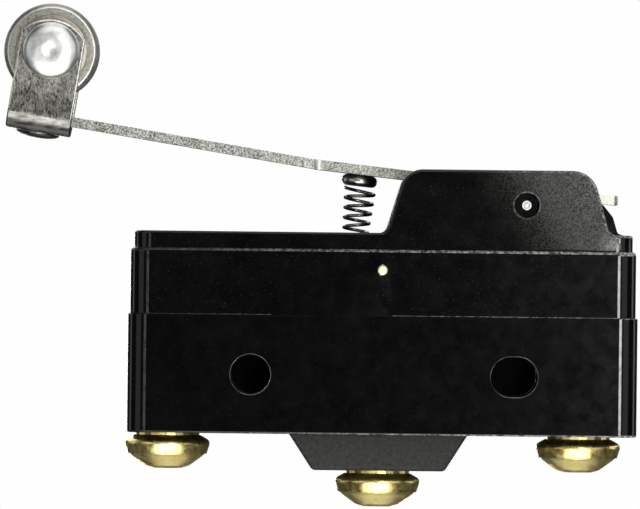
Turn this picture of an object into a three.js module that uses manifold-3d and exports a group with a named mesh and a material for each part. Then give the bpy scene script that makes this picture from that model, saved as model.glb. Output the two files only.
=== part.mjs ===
// Roller-lever limit switch: a moulded two-part housing with three brass screw terminals below, a stainless
// lever hinged between two cheeks on the cover, a roller in a riveted fork at the lever's end, and a coil
// spring that carries the lever's push to the plunger and the snap blade inside.
// Millimetres, +Z up, +X along the body away from the roller, +Y from the front face to the rear face.
// Origin: midway between the two mounting-hole axes, on the rear mounting face.
import * as THREE from "three";
import { mergeVertices } from "three/addons/utils/BufferGeometryUtils.js";
import Module from "manifold-3d";

const wasm = await Module();
wasm.setup();

// ---- driving dimensions -------------------------------------------------------------------------------
const ROUND = 28; // facets round a turned part
const FINE = 24; // facets round a small turned part
const GAP = 0.03; // clearance between parts that touch on the real switch

const THICK = 17.45; // body thickness
const MID_Y = -THICK / 2;
const FRONT_Y = -THICK;
const HOLE_PITCH = 25.4; // mounting-hole spacing
const HOLE_R = 1.95;
const SLOT_LENGTH = 4.55;

const BASE_HALF = 24.55;
const BASE_LOW = -5.7;
const SEAM_Z = 5.72;
const CORNER_R = 1.8;
const BASE_EDGE = 0.2;

const COVER_HALF = 24.35;
const COVER_INSET = 0.1; // cover side set in from the base side
const LEDGE_Z = 12.0;
const LEDGE_BEVEL = 0.15;
const CAP_HALF = 24.0;
const CAP_INSET = 0.4;
const TOP_Z = 13.75;
const ROOF_Z = 12.2; // inside of the cover roof

const CAVITY_HALF_X = 22.7;
const CAVITY_HALF_Y = 5.45;
const FLOOR_Z = 4.0;
const COVER_CAVITY_HALF_Y = 6.95;

const TONGUE = { halfX: 6, inner: 5.5, outer: 6.88, top: 11.3 };
const COVER_PIN = { x: -0.07, z: 10.15, r: 0.53, length: 3.0 };

// centre terminal boss under the base, seen from the front: x, z, corner radius
const BOSS_OUTLINE = [
  [-8.95, -5.0, 0],
  [-8.95, -5.7, 0],
  [-6.65, -9.2, 0.5],
  [6.1, -9.2, 0.5],
  [8.3, -5.7, 0],
  [8.3, -5.0, 0],
];
const BOSS_DEPTH = 12.6;
const BOSS_EDGE = 0.35;
const BOSS_LOW = -9.2;

// hinge cheeks on the cover, seen from the front: x, z, corner radius
const CHEEK_OUTLINE = [
  [-1.0, 13.0, 0],
  [-1.0, 13.75, 0],
  [0.2, 13.75, 0.9],
  [2.1, 19.92, 2.2],
  [20.05, 19.92, 2.5],
  [21.75, 13.75, 0.9],
  [23.0, 13.75, 0],
  [23.0, 13.0, 0],
];
const CHEEK_EDGE = 0.35;
const SLOT_HALF_Y = 4.5; // half the lever slot between the cheeks
const STOP_OUTLINE = [
  [16.6, 13.0, 0],
  [16.6, 16.4, 0.6],
  [19.2, 16.97, 0.6],
  [21.1, 16.8, 0.8],
  [22.15, 15.5, 1.2],
  [22.6, 13.95, 0.4],
  [23.4, 13.7, 0],
  [23.4, 13.0, 0],
];

const PIVOT = { x: 13.75, z: 16.55, r: 0.55 };
const PIVOT_RECESS = { r: 1.2, depth: 1.25 };

const LEVER_T = 0.94;
const FORK_TILT = THREE.MathUtils.degToRad(9.24); // slope of the lever's outer part
const TAIL_TILT = THREE.MathUtils.degToRad(6.25); // slope of the part from the bend to the tail
const BEND = { x: -6.6, z: 20.32 };
const LEVER_END_X = -35.6;
const TAIL_END_X = 22.65;
const ARM_HALF = 2.5; // half width of the outer part
const HINGE = { from: -6.7, to: 17.8, half: 4.1, corner: 0.6 }; // wide part, from the shoulder to the ears
const TAIL_HALF = 2.6;
const EAR = { halfX: 2.1, t: 0.7, r: 1.65, holeR: 0.6 };

const ROLLER = { x: -32.34, z: 31.02, r: 4.6, width: 4.6, bore: 2.3, chamfer: 0.38 };
const FORK = { halfU: 3.14, offU: -0.03, gap: 5.5, t: 1.0, sideTop: 1.5, arcTop: 3.0, bend: 1.3 };
const LEVER_DROP = 6.43; // roller axis to the middle of the lever, square to the lever
const AXLE = { r: 1.6, headR: 2.75, headH: 1.1, tailR: 2.3, tailH: 0.8 };
const BUSH = { r: 2.26, bore: 1.66 };
const FORK_RIVET = { r: 1.2, headR: 2.1, headH: 0.55, capR: 1.8, capH: 0.5 };

const SPRING = {
  wireR: 0.18, lowR: 1.06, topR: 1.44, lowZ: 11.9, topZ: 18.03, turns: 6.5, lowX: -2.75, topX: -2.3,
};
const BUTTON = { x: -2.32, r: 1.72, h: 1.1, edge: 0.5, shankR: 0.58 };
const GUIDE = { low: 11.1, high: 12.15, r: 3.2, bore: 1.8 };
const PLUNGER = { x: -2.75, nose: 7.42, rodR: 1.2, flangeR: 2.5, flangeLow: 10.1, flangeTop: 11.03, top: 11.66 };
const SPRING_HOLE_R = 1.8;

const BLADE = { left: -18.7, right: 18.9, low: 7.05, t: 0.3, half: 3.0, hinge: -16 };
const WINDOW = { from: -13.2, to: -5.4, half: 1.6 };
const CONTACT_X = 17;
const CONTACT_R = 1.5;
const STRIP_HALF = 2.0;
const STRIP_T = 0.75;
const INSERT = { r: 2.4, collarR: 3.1, collarH: 0.3, bore: 1.75 };

// the three terminals: name, x, face they leave the housing from, top of the threaded insert
const TERMINALS = [
  { name: "common", x: -20.73, face: BASE_LOW, top: 2.5 },
  { name: "no", x: -0.34, face: BOSS_LOW, top: 1.2 },
  { name: "nc", x: 19.1, face: BASE_LOW, top: 2.5 },
];
const WASHER = { r: 4.1, topR: 3.2, bore: 1.95, top: 0.03, cone: 0.5, rim: 1.8, wall: 0.42 };
const SCREW = { r: 1.6, headR: 3.6, flatR: 1.35, headTop: 1.0, shoulder: 1.85, low: 3.2, length: 6.4 };
const SCREW_SLOT = { width: 0.9, depth: 0.8, turn: [12, -8, 20] };

// ---- materials ----------------------------------------------------------------------------------------
const finish = (color, roughness, metalness) => new THREE.MeshStandardMaterial({ color, roughness, metalness });
const MOULDING = finish(0x151515, 0.55, 0);
const STEEL = finish(0xa7a59f, 0.4, 1);
const BRIGHT_STEEL = finish(0xd9d9d6, 0.22, 1);
const BRASS = finish(0xc8a94a, 0.3, 1);
const COPPER = finish(0xb87548, 0.35, 1);
const SILVER = finish(0xdcdcda, 0.3, 1);
const DARK_STEEL = finish(0x2b2b2c, 0.35, 1);
const PALE_PLASTIC = finish(0xd8d2bf, 0.5, 0);

// ---- building blocks ----------------------------------------------------------------------------------
const group = new THREE.Group();

function solid(geometry) {
  const bare = geometry.index ? geometry.toNonIndexed() : geometry.clone();
  bare.deleteAttribute("normal");
  bare.deleteAttribute("uv");
  const merged = mergeVertices(bare, 1e-4);
  return new wasm.Manifold(
    new wasm.Mesh({
      numProp: 3,
      vertProperties: merged.attributes.position.array,
      triVerts: new Uint32Array(merged.index.array),
    }),
  );
}

function add(name, piece, material) {
  const mesh = piece.getMesh();
  const geometry = new THREE.BufferGeometry();
  geometry.setAttribute("position", new THREE.BufferAttribute(new Float32Array(mesh.vertProperties), 3));
  geometry.setIndex(new THREE.BufferAttribute(new Uint32Array(mesh.triVerts), 1));
  const flat = geometry.toNonIndexed();
  flat.computeVertexNormals();
  const node = new THREE.Mesh(flat, material);
  node.name = name;
  group.add(node);
}

// closed outline from corners [u, v, corner radius]
function outline(corners, steps = 6) {
  const points = [];
  corners.forEach(([u, v, radius], i) => {
    const corner = new THREE.Vector2(u, v);
    if (!radius) {
      points.push(corner);
      return;
    }
    const before = corners[(i + corners.length - 1) % corners.length];
    const after = corners[(i + 1) % corners.length];
    const back = new THREE.Vector2(before[0] - u, before[1] - v).normalize();
    const ahead = new THREE.Vector2(after[0] - u, after[1] - v).normalize();
    const half = Math.acos(back.dot(ahead)) / 2;
    const reach = radius / Math.tan(half);
    const inward = back.clone().add(ahead).normalize();
    const centre = corner.clone().addScaledVector(inward, radius / Math.sin(half));
    const start = corner.clone().addScaledVector(back, reach).sub(centre).angle();
    const end = corner.clone().addScaledVector(ahead, reach).sub(centre).angle();
    const sweep = Math.atan2(Math.sin(end - start), Math.cos(end - start));
    for (let k = 0; k <= steps; k += 1) {
      const angle = start + (sweep * k) / steps;
      points.push(new THREE.Vector2(centre.x + radius * Math.cos(angle), centre.y + radius * Math.sin(angle)));
    }
  });
  return new THREE.Shape(points.filter((point, i) => point.distanceTo(points.at(i - 1)) > 1e-3));
}

function slab(shape, depth, edge = 0) {
  const geometry = new THREE.ExtrudeGeometry(shape, {
    depth: depth - 2 * edge,
    bevelEnabled: edge > 0,
    bevelThickness: edge,
    bevelSize: edge,
    bevelOffset: -edge,
    bevelSegments: 1,
    curveSegments: ROUND / 4,
  });
  return geometry.translate(0, 0, edge);
}

// outline in x, z carried along y, centred on y = middle
function across(shape, depth, middle, edge = 0) {
  return solid(slab(shape, depth, edge).rotateX(Math.PI / 2).translate(0, middle + depth / 2, 0));
}

// outline in x, y carried up from z = low to z = high
function upward(shape, low, high, edge = 0) {
  return solid(slab(shape, high - low, edge).translate(0, 0, low));
}

function box(x0, x1, y0, y1, z0, z1) {
  const geometry = new THREE.BoxGeometry(x1 - x0, y1 - y0, z1 - z0);
  return solid(geometry.translate((x0 + x1) / 2, (y0 + y1) / 2, (z0 + z1) / 2));
}

// profile [radius, height] turned about the vertical axis at x, y
function turned(profile, x, y, facets = ROUND) {
  const points = profile.map(([r, h]) => new THREE.Vector2(r, h));
  return solid(new THREE.LatheGeometry(points, facets).rotateX(Math.PI / 2).translate(x, y, 0));
}

// profile [radius, y] turned about a front-to-rear axis at x, z
function turnedAcross(profile, x, z, facets = ROUND) {
  const points = profile.map(([r, y]) => new THREE.Vector2(r, y));
  return solid(new THREE.LatheGeometry(points, facets).translate(x, 0, z));
}

const cylinder = (r, low, high) => [[0, low], [r, low], [r, high], [0, high]];
const ring = (bore, r, low, high) => [[bore, low], [r, low], [r, high], [bore, high], [bore, low]];

function roundedRect(halfX, halfY, cx, cy, r) {
  return outline([
    [cx - halfX, cy - halfY, r],
    [cx + halfX, cy - halfY, r],
    [cx + halfX, cy + halfY, r],
    [cx - halfX, cy + halfY, r],
  ]);
}

function bothSides(make) {
  return make(-1).add(make(1));
}

// ---- housing ------------------------------------------------------------------------------------------
function base() {
  const body = upward(roundedRect(BASE_HALF, THICK / 2, 0, MID_Y, CORNER_R), BASE_LOW, SEAM_Z, BASE_EDGE);
  const boss = across(outline(BOSS_OUTLINE), BOSS_DEPTH, MID_Y, BOSS_EDGE);
  const tongues = bothSides((side) => {
    const a = MID_Y + side * TONGUE.inner;
    const b = MID_Y + side * TONGUE.outer;
    return box(-TONGUE.halfX, TONGUE.halfX, Math.min(a, b), Math.max(a, b), FLOOR_Z, TONGUE.top);
  });
  let piece = body.add(boss);
  piece = piece.subtract(
    box(-CAVITY_HALF_X, CAVITY_HALF_X, MID_Y - CAVITY_HALF_Y, MID_Y + CAVITY_HALF_Y, FLOOR_Z, SEAM_Z + 1),
  );
  piece = piece.add(tongues);
  const through = THICK + 2;
  piece = piece.subtract(
    turnedAcross(cylinder(HOLE_R, FRONT_Y - 1, 1), -HOLE_PITCH / 2, 0, 40),
  );
  const slotShape = roundedRect(SLOT_LENGTH / 2, HOLE_R, HOLE_PITCH / 2, 0, HOLE_R);
  piece = piece.subtract(across(slotShape, through, MID_Y));
  piece = piece.subtract(bothSides((side) => pinBore(side)));
  for (const terminal of TERMINALS) {
    const low = terminal.face - 1;
    piece = piece.subtract(
      turned(cylinder(INSERT.r + GAP, low, terminal.top + GAP), terminal.x, MID_Y, FINE),
    );
    piece = piece.subtract(stripSlot(terminal));
  }
  return piece;
}

// slot that lets a terminal's strip rise from its insert to the cavity
function stripSlot(terminal) {
  const x = riserX(terminal);
  const half = STRIP_T / 2 + GAP;
  const wide = STRIP_HALF + GAP;
  return box(x - half, x + half, MID_Y - wide, MID_Y + wide, terminal.top - 0.5, FLOOR_Z + 0.5);
}

function riserX(terminal) {
  return terminal.name === "nc" ? terminal.x + 1.3 : terminal.x;
}

function pinBore(side) {
  const start = side < 0 ? FRONT_Y - 1 : MID_Y + TONGUE.inner - 1;
  const end = side < 0 ? MID_Y - TONGUE.inner + 1 : 1;
  return turnedAcross(cylinder(COVER_PIN.r + GAP, start, end), COVER_PIN.x, COVER_PIN.z, FINE);
}

function cover() {
  const half = THICK / 2;
  const low = SEAM_Z + GAP;
  const band = upward(
    roundedRect(COVER_HALF, half - COVER_INSET, 0, MID_Y, CORNER_R), low, LEDGE_Z + LEDGE_BEVEL, LEDGE_BEVEL,
  );
  const cap = upward(
    roundedRect(CAP_HALF, half - CAP_INSET, 0, MID_Y, CORNER_R - 0.2), LEDGE_Z - 1, TOP_Z, LEDGE_BEVEL,
  );
  const cheekDepth = THICK - 2 * CAP_INSET;
  const cheeks = across(outline(CHEEK_OUTLINE), cheekDepth, MID_Y, CHEEK_EDGE);
  const slot = box(-3, 25, MID_Y - SLOT_HALF_Y, MID_Y + SLOT_HALF_Y, TOP_Z, 22);
  const stop = across(outline(STOP_OUTLINE), 2 * SLOT_HALF_Y + 0.2, MID_Y);
  const pads = across(
    roundedRect(5.55, (LEDGE_Z - low) / 2 - 0.25, -5.05, (LEDGE_Z + low) / 2 - 0.25, 0.2), THICK - 0.06, MID_Y,
  );
  let piece = band.add(cap).add(pads).add(cheeks.subtract(slot)).add(stop);
  piece = piece.subtract(
    box(
      -CAVITY_HALF_X, CAVITY_HALF_X, MID_Y - COVER_CAVITY_HALF_Y, MID_Y + COVER_CAVITY_HALF_Y, SEAM_Z - 1, ROOF_Z,
    ),
  );
  piece = piece.subtract(turned(cylinder(SPRING_HOLE_R, ROOF_Z - 1, TOP_Z + 1), PLUNGER.x, MID_Y, FINE));
  piece = piece.subtract(bothSides((side) => pinBore(side)));
  piece = piece.subtract(turnedAcross(cylinder(PIVOT.r + GAP, FRONT_Y, 0), PIVOT.x, PIVOT.z, FINE));
  const recess = bothSides((side) => {
    const face = MID_Y + side * (cheekDepth / 2);
    const floor = face - side * PIVOT_RECESS.depth;
    const span = cylinder(PIVOT_RECESS.r, Math.min(face, floor) - (side < 0 ? 1 : 0), Math.max(face, floor) + 1);
    if (side < 0) span.forEach((point) => (point[1] = Math.min(point[1], floor)));
    return turnedAcross(span, PIVOT.x, PIVOT.z, FINE);
  });
  return piece.subtract(recess);
}

add("base", base(), MOULDING);
add("cover", cover(), MOULDING);

for (const side of [-1, 1]) {
  const face = MID_Y + side * (THICK / 2 - COVER_INSET);
  const inner = face - side * COVER_PIN.length;
  const name = side < 0 ? "cover_pin_front" : "cover_pin_rear";
  const profile = cylinder(COVER_PIN.r, Math.min(face, inner), Math.max(face, inner));
  add(name, turnedAcross(profile, COVER_PIN.x, COVER_PIN.z, 20), BRASS);
}

const pinHalf = THICK / 2 - CAP_INSET - PIVOT_RECESS.depth + 0.35;
add("pivot_pin", turnedAcross(cylinder(PIVOT.r, MID_Y - pinHalf, MID_Y + pinHalf), PIVOT.x, PIVOT.z, 20), STEEL);

// ---- lever --------------------------------------------------------------------------------------------
// a straight run of lever strip between two x positions, at the given tilt through the bend point
function strip(x0, x1, tilt, half) {
  const z = (x) => BEND.z - (x - BEND.x) * Math.tan(tilt);
  const rise = LEVER_T / 2 / Math.cos(tilt);
  const shape = outline([
    [x0, z(x0) - rise, 0],
    [x1, z(x1) - rise, 0],
    [x1, z(x1) + rise, 0],
    [x0, z(x0) + rise, 0],
  ]);
  return across(shape, 2 * half, MID_Y);
}

const leverZ = (x) => BEND.z - (x - BEND.x) * Math.tan(TAIL_TILT);

// a turned profile standing on the lever's underside at the spring button, square to the lever
function buttonPlaced(profile, facets) {
  const drop = (LEVER_T / 2 + GAP) / Math.cos(TAIL_TILT);
  return turned(profile, 0, 0, facets)
    .rotate([0, THREE.MathUtils.radToDeg(TAIL_TILT), 0])
    .translate([BUTTON.x, MID_Y, leverZ(BUTTON.x) - drop]);
}

function lever() {
  const arm = strip(LEVER_END_X, BEND.x, FORK_TILT, ARM_HALF);
  const spine = strip(BEND.x, TAIL_END_X, TAIL_TILT, TAIL_HALF);
  const centreX = (HINGE.from + HINGE.to) / 2;
  const plan = upward(roundedRect((HINGE.to - HINGE.from) / 2, HINGE.half, centreX, MID_Y, HINGE.corner), 15, 25);
  const wide = strip(BEND.x, HINGE.to + 1, TAIL_TILT, HINGE.half);
  const heel = strip(HINGE.from - 1, BEND.x, FORK_TILT, HINGE.half);
  const hinge = wide.add(heel).intersect(plan);
  const top = leverZ(PIVOT.x);
  const earShape = outline([
    [PIVOT.x - EAR.halfX, top, 0],
    [PIVOT.x - EAR.halfX, PIVOT.z - 0.2, 0.6],
    [PIVOT.x - EAR.r, PIVOT.z - EAR.r, 1.0],
    [PIVOT.x + EAR.r, PIVOT.z - EAR.r, 1.0],
    [PIVOT.x + EAR.halfX, PIVOT.z - 0.2, 0.6],
    [PIVOT.x + EAR.halfX, top, 0],
  ]);
  const ears = bothSides((side) => across(earShape, EAR.t, MID_Y + side * (HINGE.half - EAR.t / 2)));
  const bore = turnedAcross(cylinder(EAR.holeR, FRONT_Y, 0), PIVOT.x, PIVOT.z, 20);
  const rivetHoles = buttonPlaced(cylinder(BUTTON.shankR + GAP, -3, 3), 20).add(forkRivetCut(FORK_RIVET.r + GAP));
  return arm.add(spine).add(hinge).add(ears).subtract(bore).subtract(rivetHoles);
}

// everything in the fork is drawn upright about the roller's axis, then tilted with the lever
function tilted(piece) {
  const degrees = THREE.MathUtils.radToDeg(FORK_TILT);
  return piece.rotate([0, degrees, 0]).translate([ROLLER.x, 0, ROLLER.z]);
}

const leverLow = -LEVER_DROP - LEVER_T / 2; // lever underside below the roller axis
const seat = leverLow - GAP; // inside face of the fork's base
const forkLow = seat - FORK.t;

function forkRivetCut(r) {
  return tilted(turned(cylinder(r, forkLow - 3, leverLow + 3), FORK.offU, MID_Y, 20));
}

// the fork is a U strip: two arms with arched tops, joined by a base with rounded bends
function fork() {
  const outer = FORK.gap / 2 + FORK.t;
  const left = FORK.offU - FORK.halfU;
  const right = FORK.offU + FORK.halfU;
  const rise = FORK.arcTop - FORK.sideTop;
  const radius = (FORK.halfU ** 2 + rise ** 2) / (2 * rise);
  const points = [new THREE.Vector2(left, forkLow), new THREE.Vector2(right, forkLow)];
  const steps = 12;
  const sweep = Math.asin(FORK.halfU / radius);
  for (let k = 0; k <= steps; k += 1) {
    const angle = sweep - (2 * sweep * k) / steps;
    points.push(
      new THREE.Vector2(FORK.offU + radius * Math.sin(angle), FORK.arcTop - radius + radius * Math.cos(angle)),
    );
  }
  const face = across(new THREE.Shape(points), 2 * outer, MID_Y);
  const section = [
    [MID_Y - outer, 6, 0],
    [MID_Y - outer, forkLow, FORK.bend],
    [MID_Y + outer, forkLow, FORK.bend],
    [MID_Y + outer, 6, 0],
    [MID_Y + outer - FORK.t, 6, 0],
    [MID_Y + outer - FORK.t, seat, FORK.bend - FORK.t],
    [MID_Y - outer + FORK.t, seat, FORK.bend - FORK.t],
    [MID_Y - outer + FORK.t, 6, 0],
  ];
  // local x of the section is y, local y is z, and it runs along x
  const turn = new THREE.Matrix4().makeBasis(
    new THREE.Vector3(0, 1, 0), new THREE.Vector3(0, 0, 1), new THREE.Vector3(1, 0, 0),
  );
  const channel = solid(slab(outline(section), 2 * FORK.halfU + 2).applyMatrix4(turn).translate(left - 1, 0, 0));
  const axleHole = turnedAcross(cylinder(AXLE.r + GAP, FRONT_Y, 0), 0, 0, FINE);
  return tilted(face.intersect(channel).subtract(axleHole)).subtract(forkRivetCut(FORK_RIVET.r + GAP));
}

function domedRivet(shankR, headR, headH, capR, capH, low, high) {
  // head below, cap above, shank between
  return [
    [0, low - headH],
    [headR * 0.45, low - headH * 0.93],
    [headR * 0.8, low - headH * 0.6],
    [headR, low - headH * 0.12],
    [headR, low],
    [shankR, low],
    [shankR, high],
    [capR, high],
    [capR, high + capH * 0.3],
    [capR * 0.7, high + capH * 0.85],
    [0, high + capH],
  ];
}

add("lever", lever(), STEEL);
add("roller_fork", fork(), STEEL);
add(
  "fork_rivet",
  tilted(
    turned(
      domedRivet(
        FORK_RIVET.r, FORK_RIVET.headR, FORK_RIVET.headH, FORK_RIVET.capR, FORK_RIVET.capH,
        forkLow - GAP, -LEVER_DROP + LEVER_T / 2 + GAP,
      ),
      FORK.offU, MID_Y, 24,
    ),
  ),
  STEEL,
);

// ---- roller -------------------------------------------------------------------------------------------
const armOut = FORK.gap / 2 + FORK.t + GAP;
function axle() {
  const front = MID_Y - armOut;
  const rear = MID_Y + armOut;
  return [
    [0, front - AXLE.headH + 0.12],
    [0.45, front - AXLE.headH + 0.1],
    [0.75, front - AXLE.headH],
    [AXLE.headR * 0.55, front - AXLE.headH * 0.93],
    [AXLE.headR * 0.8, front - AXLE.headH * 0.72],
    [AXLE.headR * 0.95, front - AXLE.headH * 0.4],
    [AXLE.headR, front - 0.12],
    [AXLE.headR, front],
    [AXLE.r, front],
    [AXLE.r, rear],
    [AXLE.tailR, rear],
    [AXLE.tailR, rear + AXLE.tailH * 0.4],
    [AXLE.tailR * 0.75, rear + AXLE.tailH * 0.9],
    [0, rear + AXLE.tailH],
  ];
}
add("roller_axle", turnedAcross(axle(), ROLLER.x, ROLLER.z), BRIGHT_STEEL);

const half = ROLLER.width / 2;
const rollerProfile = [
  [ROLLER.bore, MID_Y - half],
  [ROLLER.r - ROLLER.chamfer, MID_Y - half],
  [ROLLER.r - ROLLER.chamfer * 0.3, MID_Y - half + ROLLER.chamfer * 0.3],
  [ROLLER.r, MID_Y - half + ROLLER.chamfer],
  [ROLLER.r, MID_Y + half - ROLLER.chamfer],
  [ROLLER.r - ROLLER.chamfer * 0.3, MID_Y + half - ROLLER.chamfer * 0.3],
  [ROLLER.r - ROLLER.chamfer, MID_Y + half],
  [ROLLER.bore, MID_Y + half],
  [ROLLER.bore, MID_Y - half],
];
add("roller", turnedAcross(rollerProfile, ROLLER.x, ROLLER.z, 44), STEEL);
add(
  "roller_bush",
  turnedAcross(ring(BUSH.bore, BUSH.r, MID_Y - half - 0.12, MID_Y + half + 0.12), ROLLER.x, ROLLER.z),
  BRASS,
);
for (const sideSign of [-1, 1]) {
  const near = MID_Y + sideSign * (half + 0.17);
  const far = MID_Y + sideSign * (FORK.gap / 2 - GAP);
  const profile = ring(AXLE.r + GAP, 3.45, Math.min(near, far), Math.max(near, far));
  add(sideSign < 0 ? "roller_washer_front" : "roller_washer_rear", turnedAcross(profile, ROLLER.x, ROLLER.z), STEEL);
}

// ---- spring, its button and the plunger ---------------------------------------------------------------
function button() {
  const r = BUTTON.r;
  const e = BUTTON.edge;
  return [
    [0, -BUTTON.h],
    [r - e, -BUTTON.h],
    [r - e * 0.3, -BUTTON.h + e * 0.3],
    [r, -BUTTON.h + e],
    [r, -e],
    [r - e * 0.3, -e * 0.3],
    [r - e, 0],
    [BUTTON.shankR, 0],
    [BUTTON.shankR, LEVER_T + GAP],
    [0, LEVER_T + GAP],
  ];
}
add("spring_button", buttonPlaced(button(), FINE), DARK_STEEL);

class Coil extends THREE.Curve {
  getPoint(t, target = new THREE.Vector3()) {
    const angle = 2 * Math.PI * SPRING.turns * t;
    const r = THREE.MathUtils.lerp(SPRING.lowR, SPRING.topR, t);
    const x = THREE.MathUtils.lerp(SPRING.lowX, SPRING.topX, Math.max(0, t * 1.3 - 0.3));
    const lean = Math.tan(TAIL_TILT) * t; // the turns lean over towards the top, to lie flat under the button
    const z = THREE.MathUtils.lerp(SPRING.lowZ, SPRING.topZ, t) - r * Math.cos(angle) * lean;
    return target.set(x + r * Math.cos(angle), MID_Y + r * Math.sin(angle), z);
  }
}
function wireSection() {
  const points = [];
  for (let k = 0; k < 6; k += 1) {
    const angle = (2 * Math.PI * k) / 6;
    points.push(new THREE.Vector2(SPRING.wireR * Math.cos(angle), SPRING.wireR * Math.sin(angle)));
  }
  return new THREE.Shape(points);
}
add(
  "coil_spring",
  solid(
    new THREE.ExtrudeGeometry(wireSection(), {
      extrudePath: new Coil(), steps: Math.round(SPRING.turns * 14), bevelEnabled: false,
    }),
  ),
  DARK_STEEL,
);

add(
  "plunger_guide",
  turned(ring(GUIDE.bore, GUIDE.r, GUIDE.low, GUIDE.high), PLUNGER.x, MID_Y, FINE),
  PALE_PLASTIC,
);
add(
  "plunger",
  turned(
    [
      [0, PLUNGER.nose],
      [0.7, PLUNGER.nose],
      [PLUNGER.rodR, PLUNGER.nose + 0.4],
      [PLUNGER.rodR, PLUNGER.flangeLow],
      [PLUNGER.flangeR, PLUNGER.flangeLow],
      [PLUNGER.flangeR, PLUNGER.flangeTop],
      [1.5, PLUNGER.flangeTop],
      [1.5, PLUNGER.top],
      [0.7, PLUNGER.top],
      [0.6, PLUNGER.top + 0.8],
      [0, PLUNGER.top + 0.8],
    ],
    PLUNGER.x, MID_Y, FINE,
  ),
  PALE_PLASTIC,
);

// ---- snap mechanism -----------------------------------------------------------------------------------
function inPlan(x0, x1, halfY, low, t) {
  return box(x0, x1, MID_Y - halfY, MID_Y + halfY, low, low + t);
}

const bladeTop = BLADE.low + BLADE.t;
const blade = upward(
  roundedRect((BLADE.right - BLADE.left) / 2, BLADE.half, (BLADE.right + BLADE.left) / 2, MID_Y, 1), BLADE.low, bladeTop,
)
  .subtract(inPlan(WINDOW.from, WINDOW.to, WINDOW.half, BLADE.low - 1, 3))
  .subtract(turned(cylinder(1.0, BLADE.low - 1, bladeTop + 1), BLADE.left + 1.5, MID_Y, 20))
  .subtract(turned(cylinder(0.85, BLADE.low - 1, bladeTop + 1), CONTACT_X, MID_Y, 20));
add("snap_blade", blade, COPPER);

function tongue() {
  const span = WINDOW.to - WINDOW.from - 0.3;
  const steps = 12;
  const lower = [];
  const upper = [];
  for (let k = 0; k <= steps; k += 1) {
    const u = k / steps;
    const x = WINDOW.from + 0.15 + span * u;
    const z = BLADE.low + 0.05 - 1.1 * Math.sin(Math.PI * u);
    lower.push(new THREE.Vector2(x, z));
    upper.unshift(new THREE.Vector2(x, z + 0.2));
  }
  return across(new THREE.Shape([...lower, ...upper]), 2 * WINDOW.half - 0.4, MID_Y);
}
add("snap_tongue", tongue(), COPPER);

const contactLow = BLADE.low - 0.45;
add(
  "moving_contact",
  turned(
    [
      [0, contactLow],
      [CONTACT_R, contactLow],
      [CONTACT_R, BLADE.low - GAP],
      [0.8, BLADE.low - GAP],
      [0.8, bladeTop + GAP],
      [CONTACT_R, bladeTop + GAP],
      [CONTACT_R, bladeTop + 0.45],
      [0, bladeTop + 0.45],
    ],
    CONTACT_X, MID_Y, FINE,
  ),
  SILVER,
);

// ---- terminals ----------------------------------------------------------------------------------------
const noStripLow = FLOOR_Z + GAP;
const ncContactLow = bladeTop + 0.5;
const ncContactTop = ncContactLow + 0.75;
const ncStripLow = ncContactTop + GAP;

// threaded insert with its collar under the housing, and the strip that rises from it
function insert(terminal) {
  const collarTop = terminal.face - GAP;
  const profile = [
    [INSERT.bore, collarTop - INSERT.collarH],
    [INSERT.collarR, collarTop - INSERT.collarH],
    [INSERT.collarR, collarTop],
    [INSERT.r, collarTop],
    [INSERT.r, terminal.top],
    [0, terminal.top],
    [0, terminal.top - 0.9],
    [INSERT.bore, terminal.top - 0.9],
    [INSERT.bore, collarTop - INSERT.collarH],
  ];
  return turned(profile, terminal.x, MID_Y, FINE);
}

function riser(terminal, top) {
  const x = riserX(terminal);
  return inPlan(x - STRIP_T / 2, x + STRIP_T / 2, STRIP_HALF, terminal.top - 0.4, top - terminal.top + 0.4);
}

const [COMMON, NO, NC] = TERMINALS;
const commonTop = BLADE.low - 0.06;
const commonArm = inPlan(riserX(COMMON) - STRIP_T / 2, BLADE.hinge + 0.4, STRIP_HALF, commonTop - STRIP_T, STRIP_T);
const anchorX = BLADE.left + 1.5;
add(
  "common_terminal",
  insert(COMMON).add(riser(COMMON, commonTop)).add(commonArm)
    .subtract(turned(cylinder(0.66, 4, 8), anchorX, MID_Y, 16)),
  BRASS,
);
const noArm = inPlan(riserX(NO) - STRIP_T / 2, CONTACT_X + 1.6, STRIP_HALF, noStripLow, STRIP_T);
add("no_terminal", insert(NO).add(riser(NO, noStripLow + STRIP_T)).add(noArm), BRASS);
const ncArm = inPlan(CONTACT_X - 1.6, riserX(NC) + STRIP_T / 2, STRIP_HALF, ncStripLow, STRIP_T);
add("nc_terminal", insert(NC).add(riser(NC, ncStripLow + STRIP_T)).add(ncArm), BRASS);

const noContactLow = noStripLow + STRIP_T + GAP;
add("no_contact", turned(cylinder(CONTACT_R, noContactLow, noContactLow + 0.7), CONTACT_X, MID_Y, FINE), SILVER);
add("nc_contact", turned(cylinder(CONTACT_R, ncContactLow, ncContactTop), CONTACT_X, MID_Y, FINE), SILVER);

const clampLow = bladeTop + 0.12;
add(
  "blade_clamp",
  inPlan(BLADE.left, BLADE.left + 3, STRIP_HALF, clampLow, 0.5)
    .subtract(turned(cylinder(0.66, 4, 9), anchorX, MID_Y, 16)),
  BRASS,
);
add(
  "blade_rivet",
  turned(
    domedRivet(0.62, 1.1, 0.4, 1.1, 0.4, commonTop - STRIP_T - GAP, clampLow + 0.5 + GAP), anchorX, MID_Y, 20,
  ),
  BRASS,
);

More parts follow.
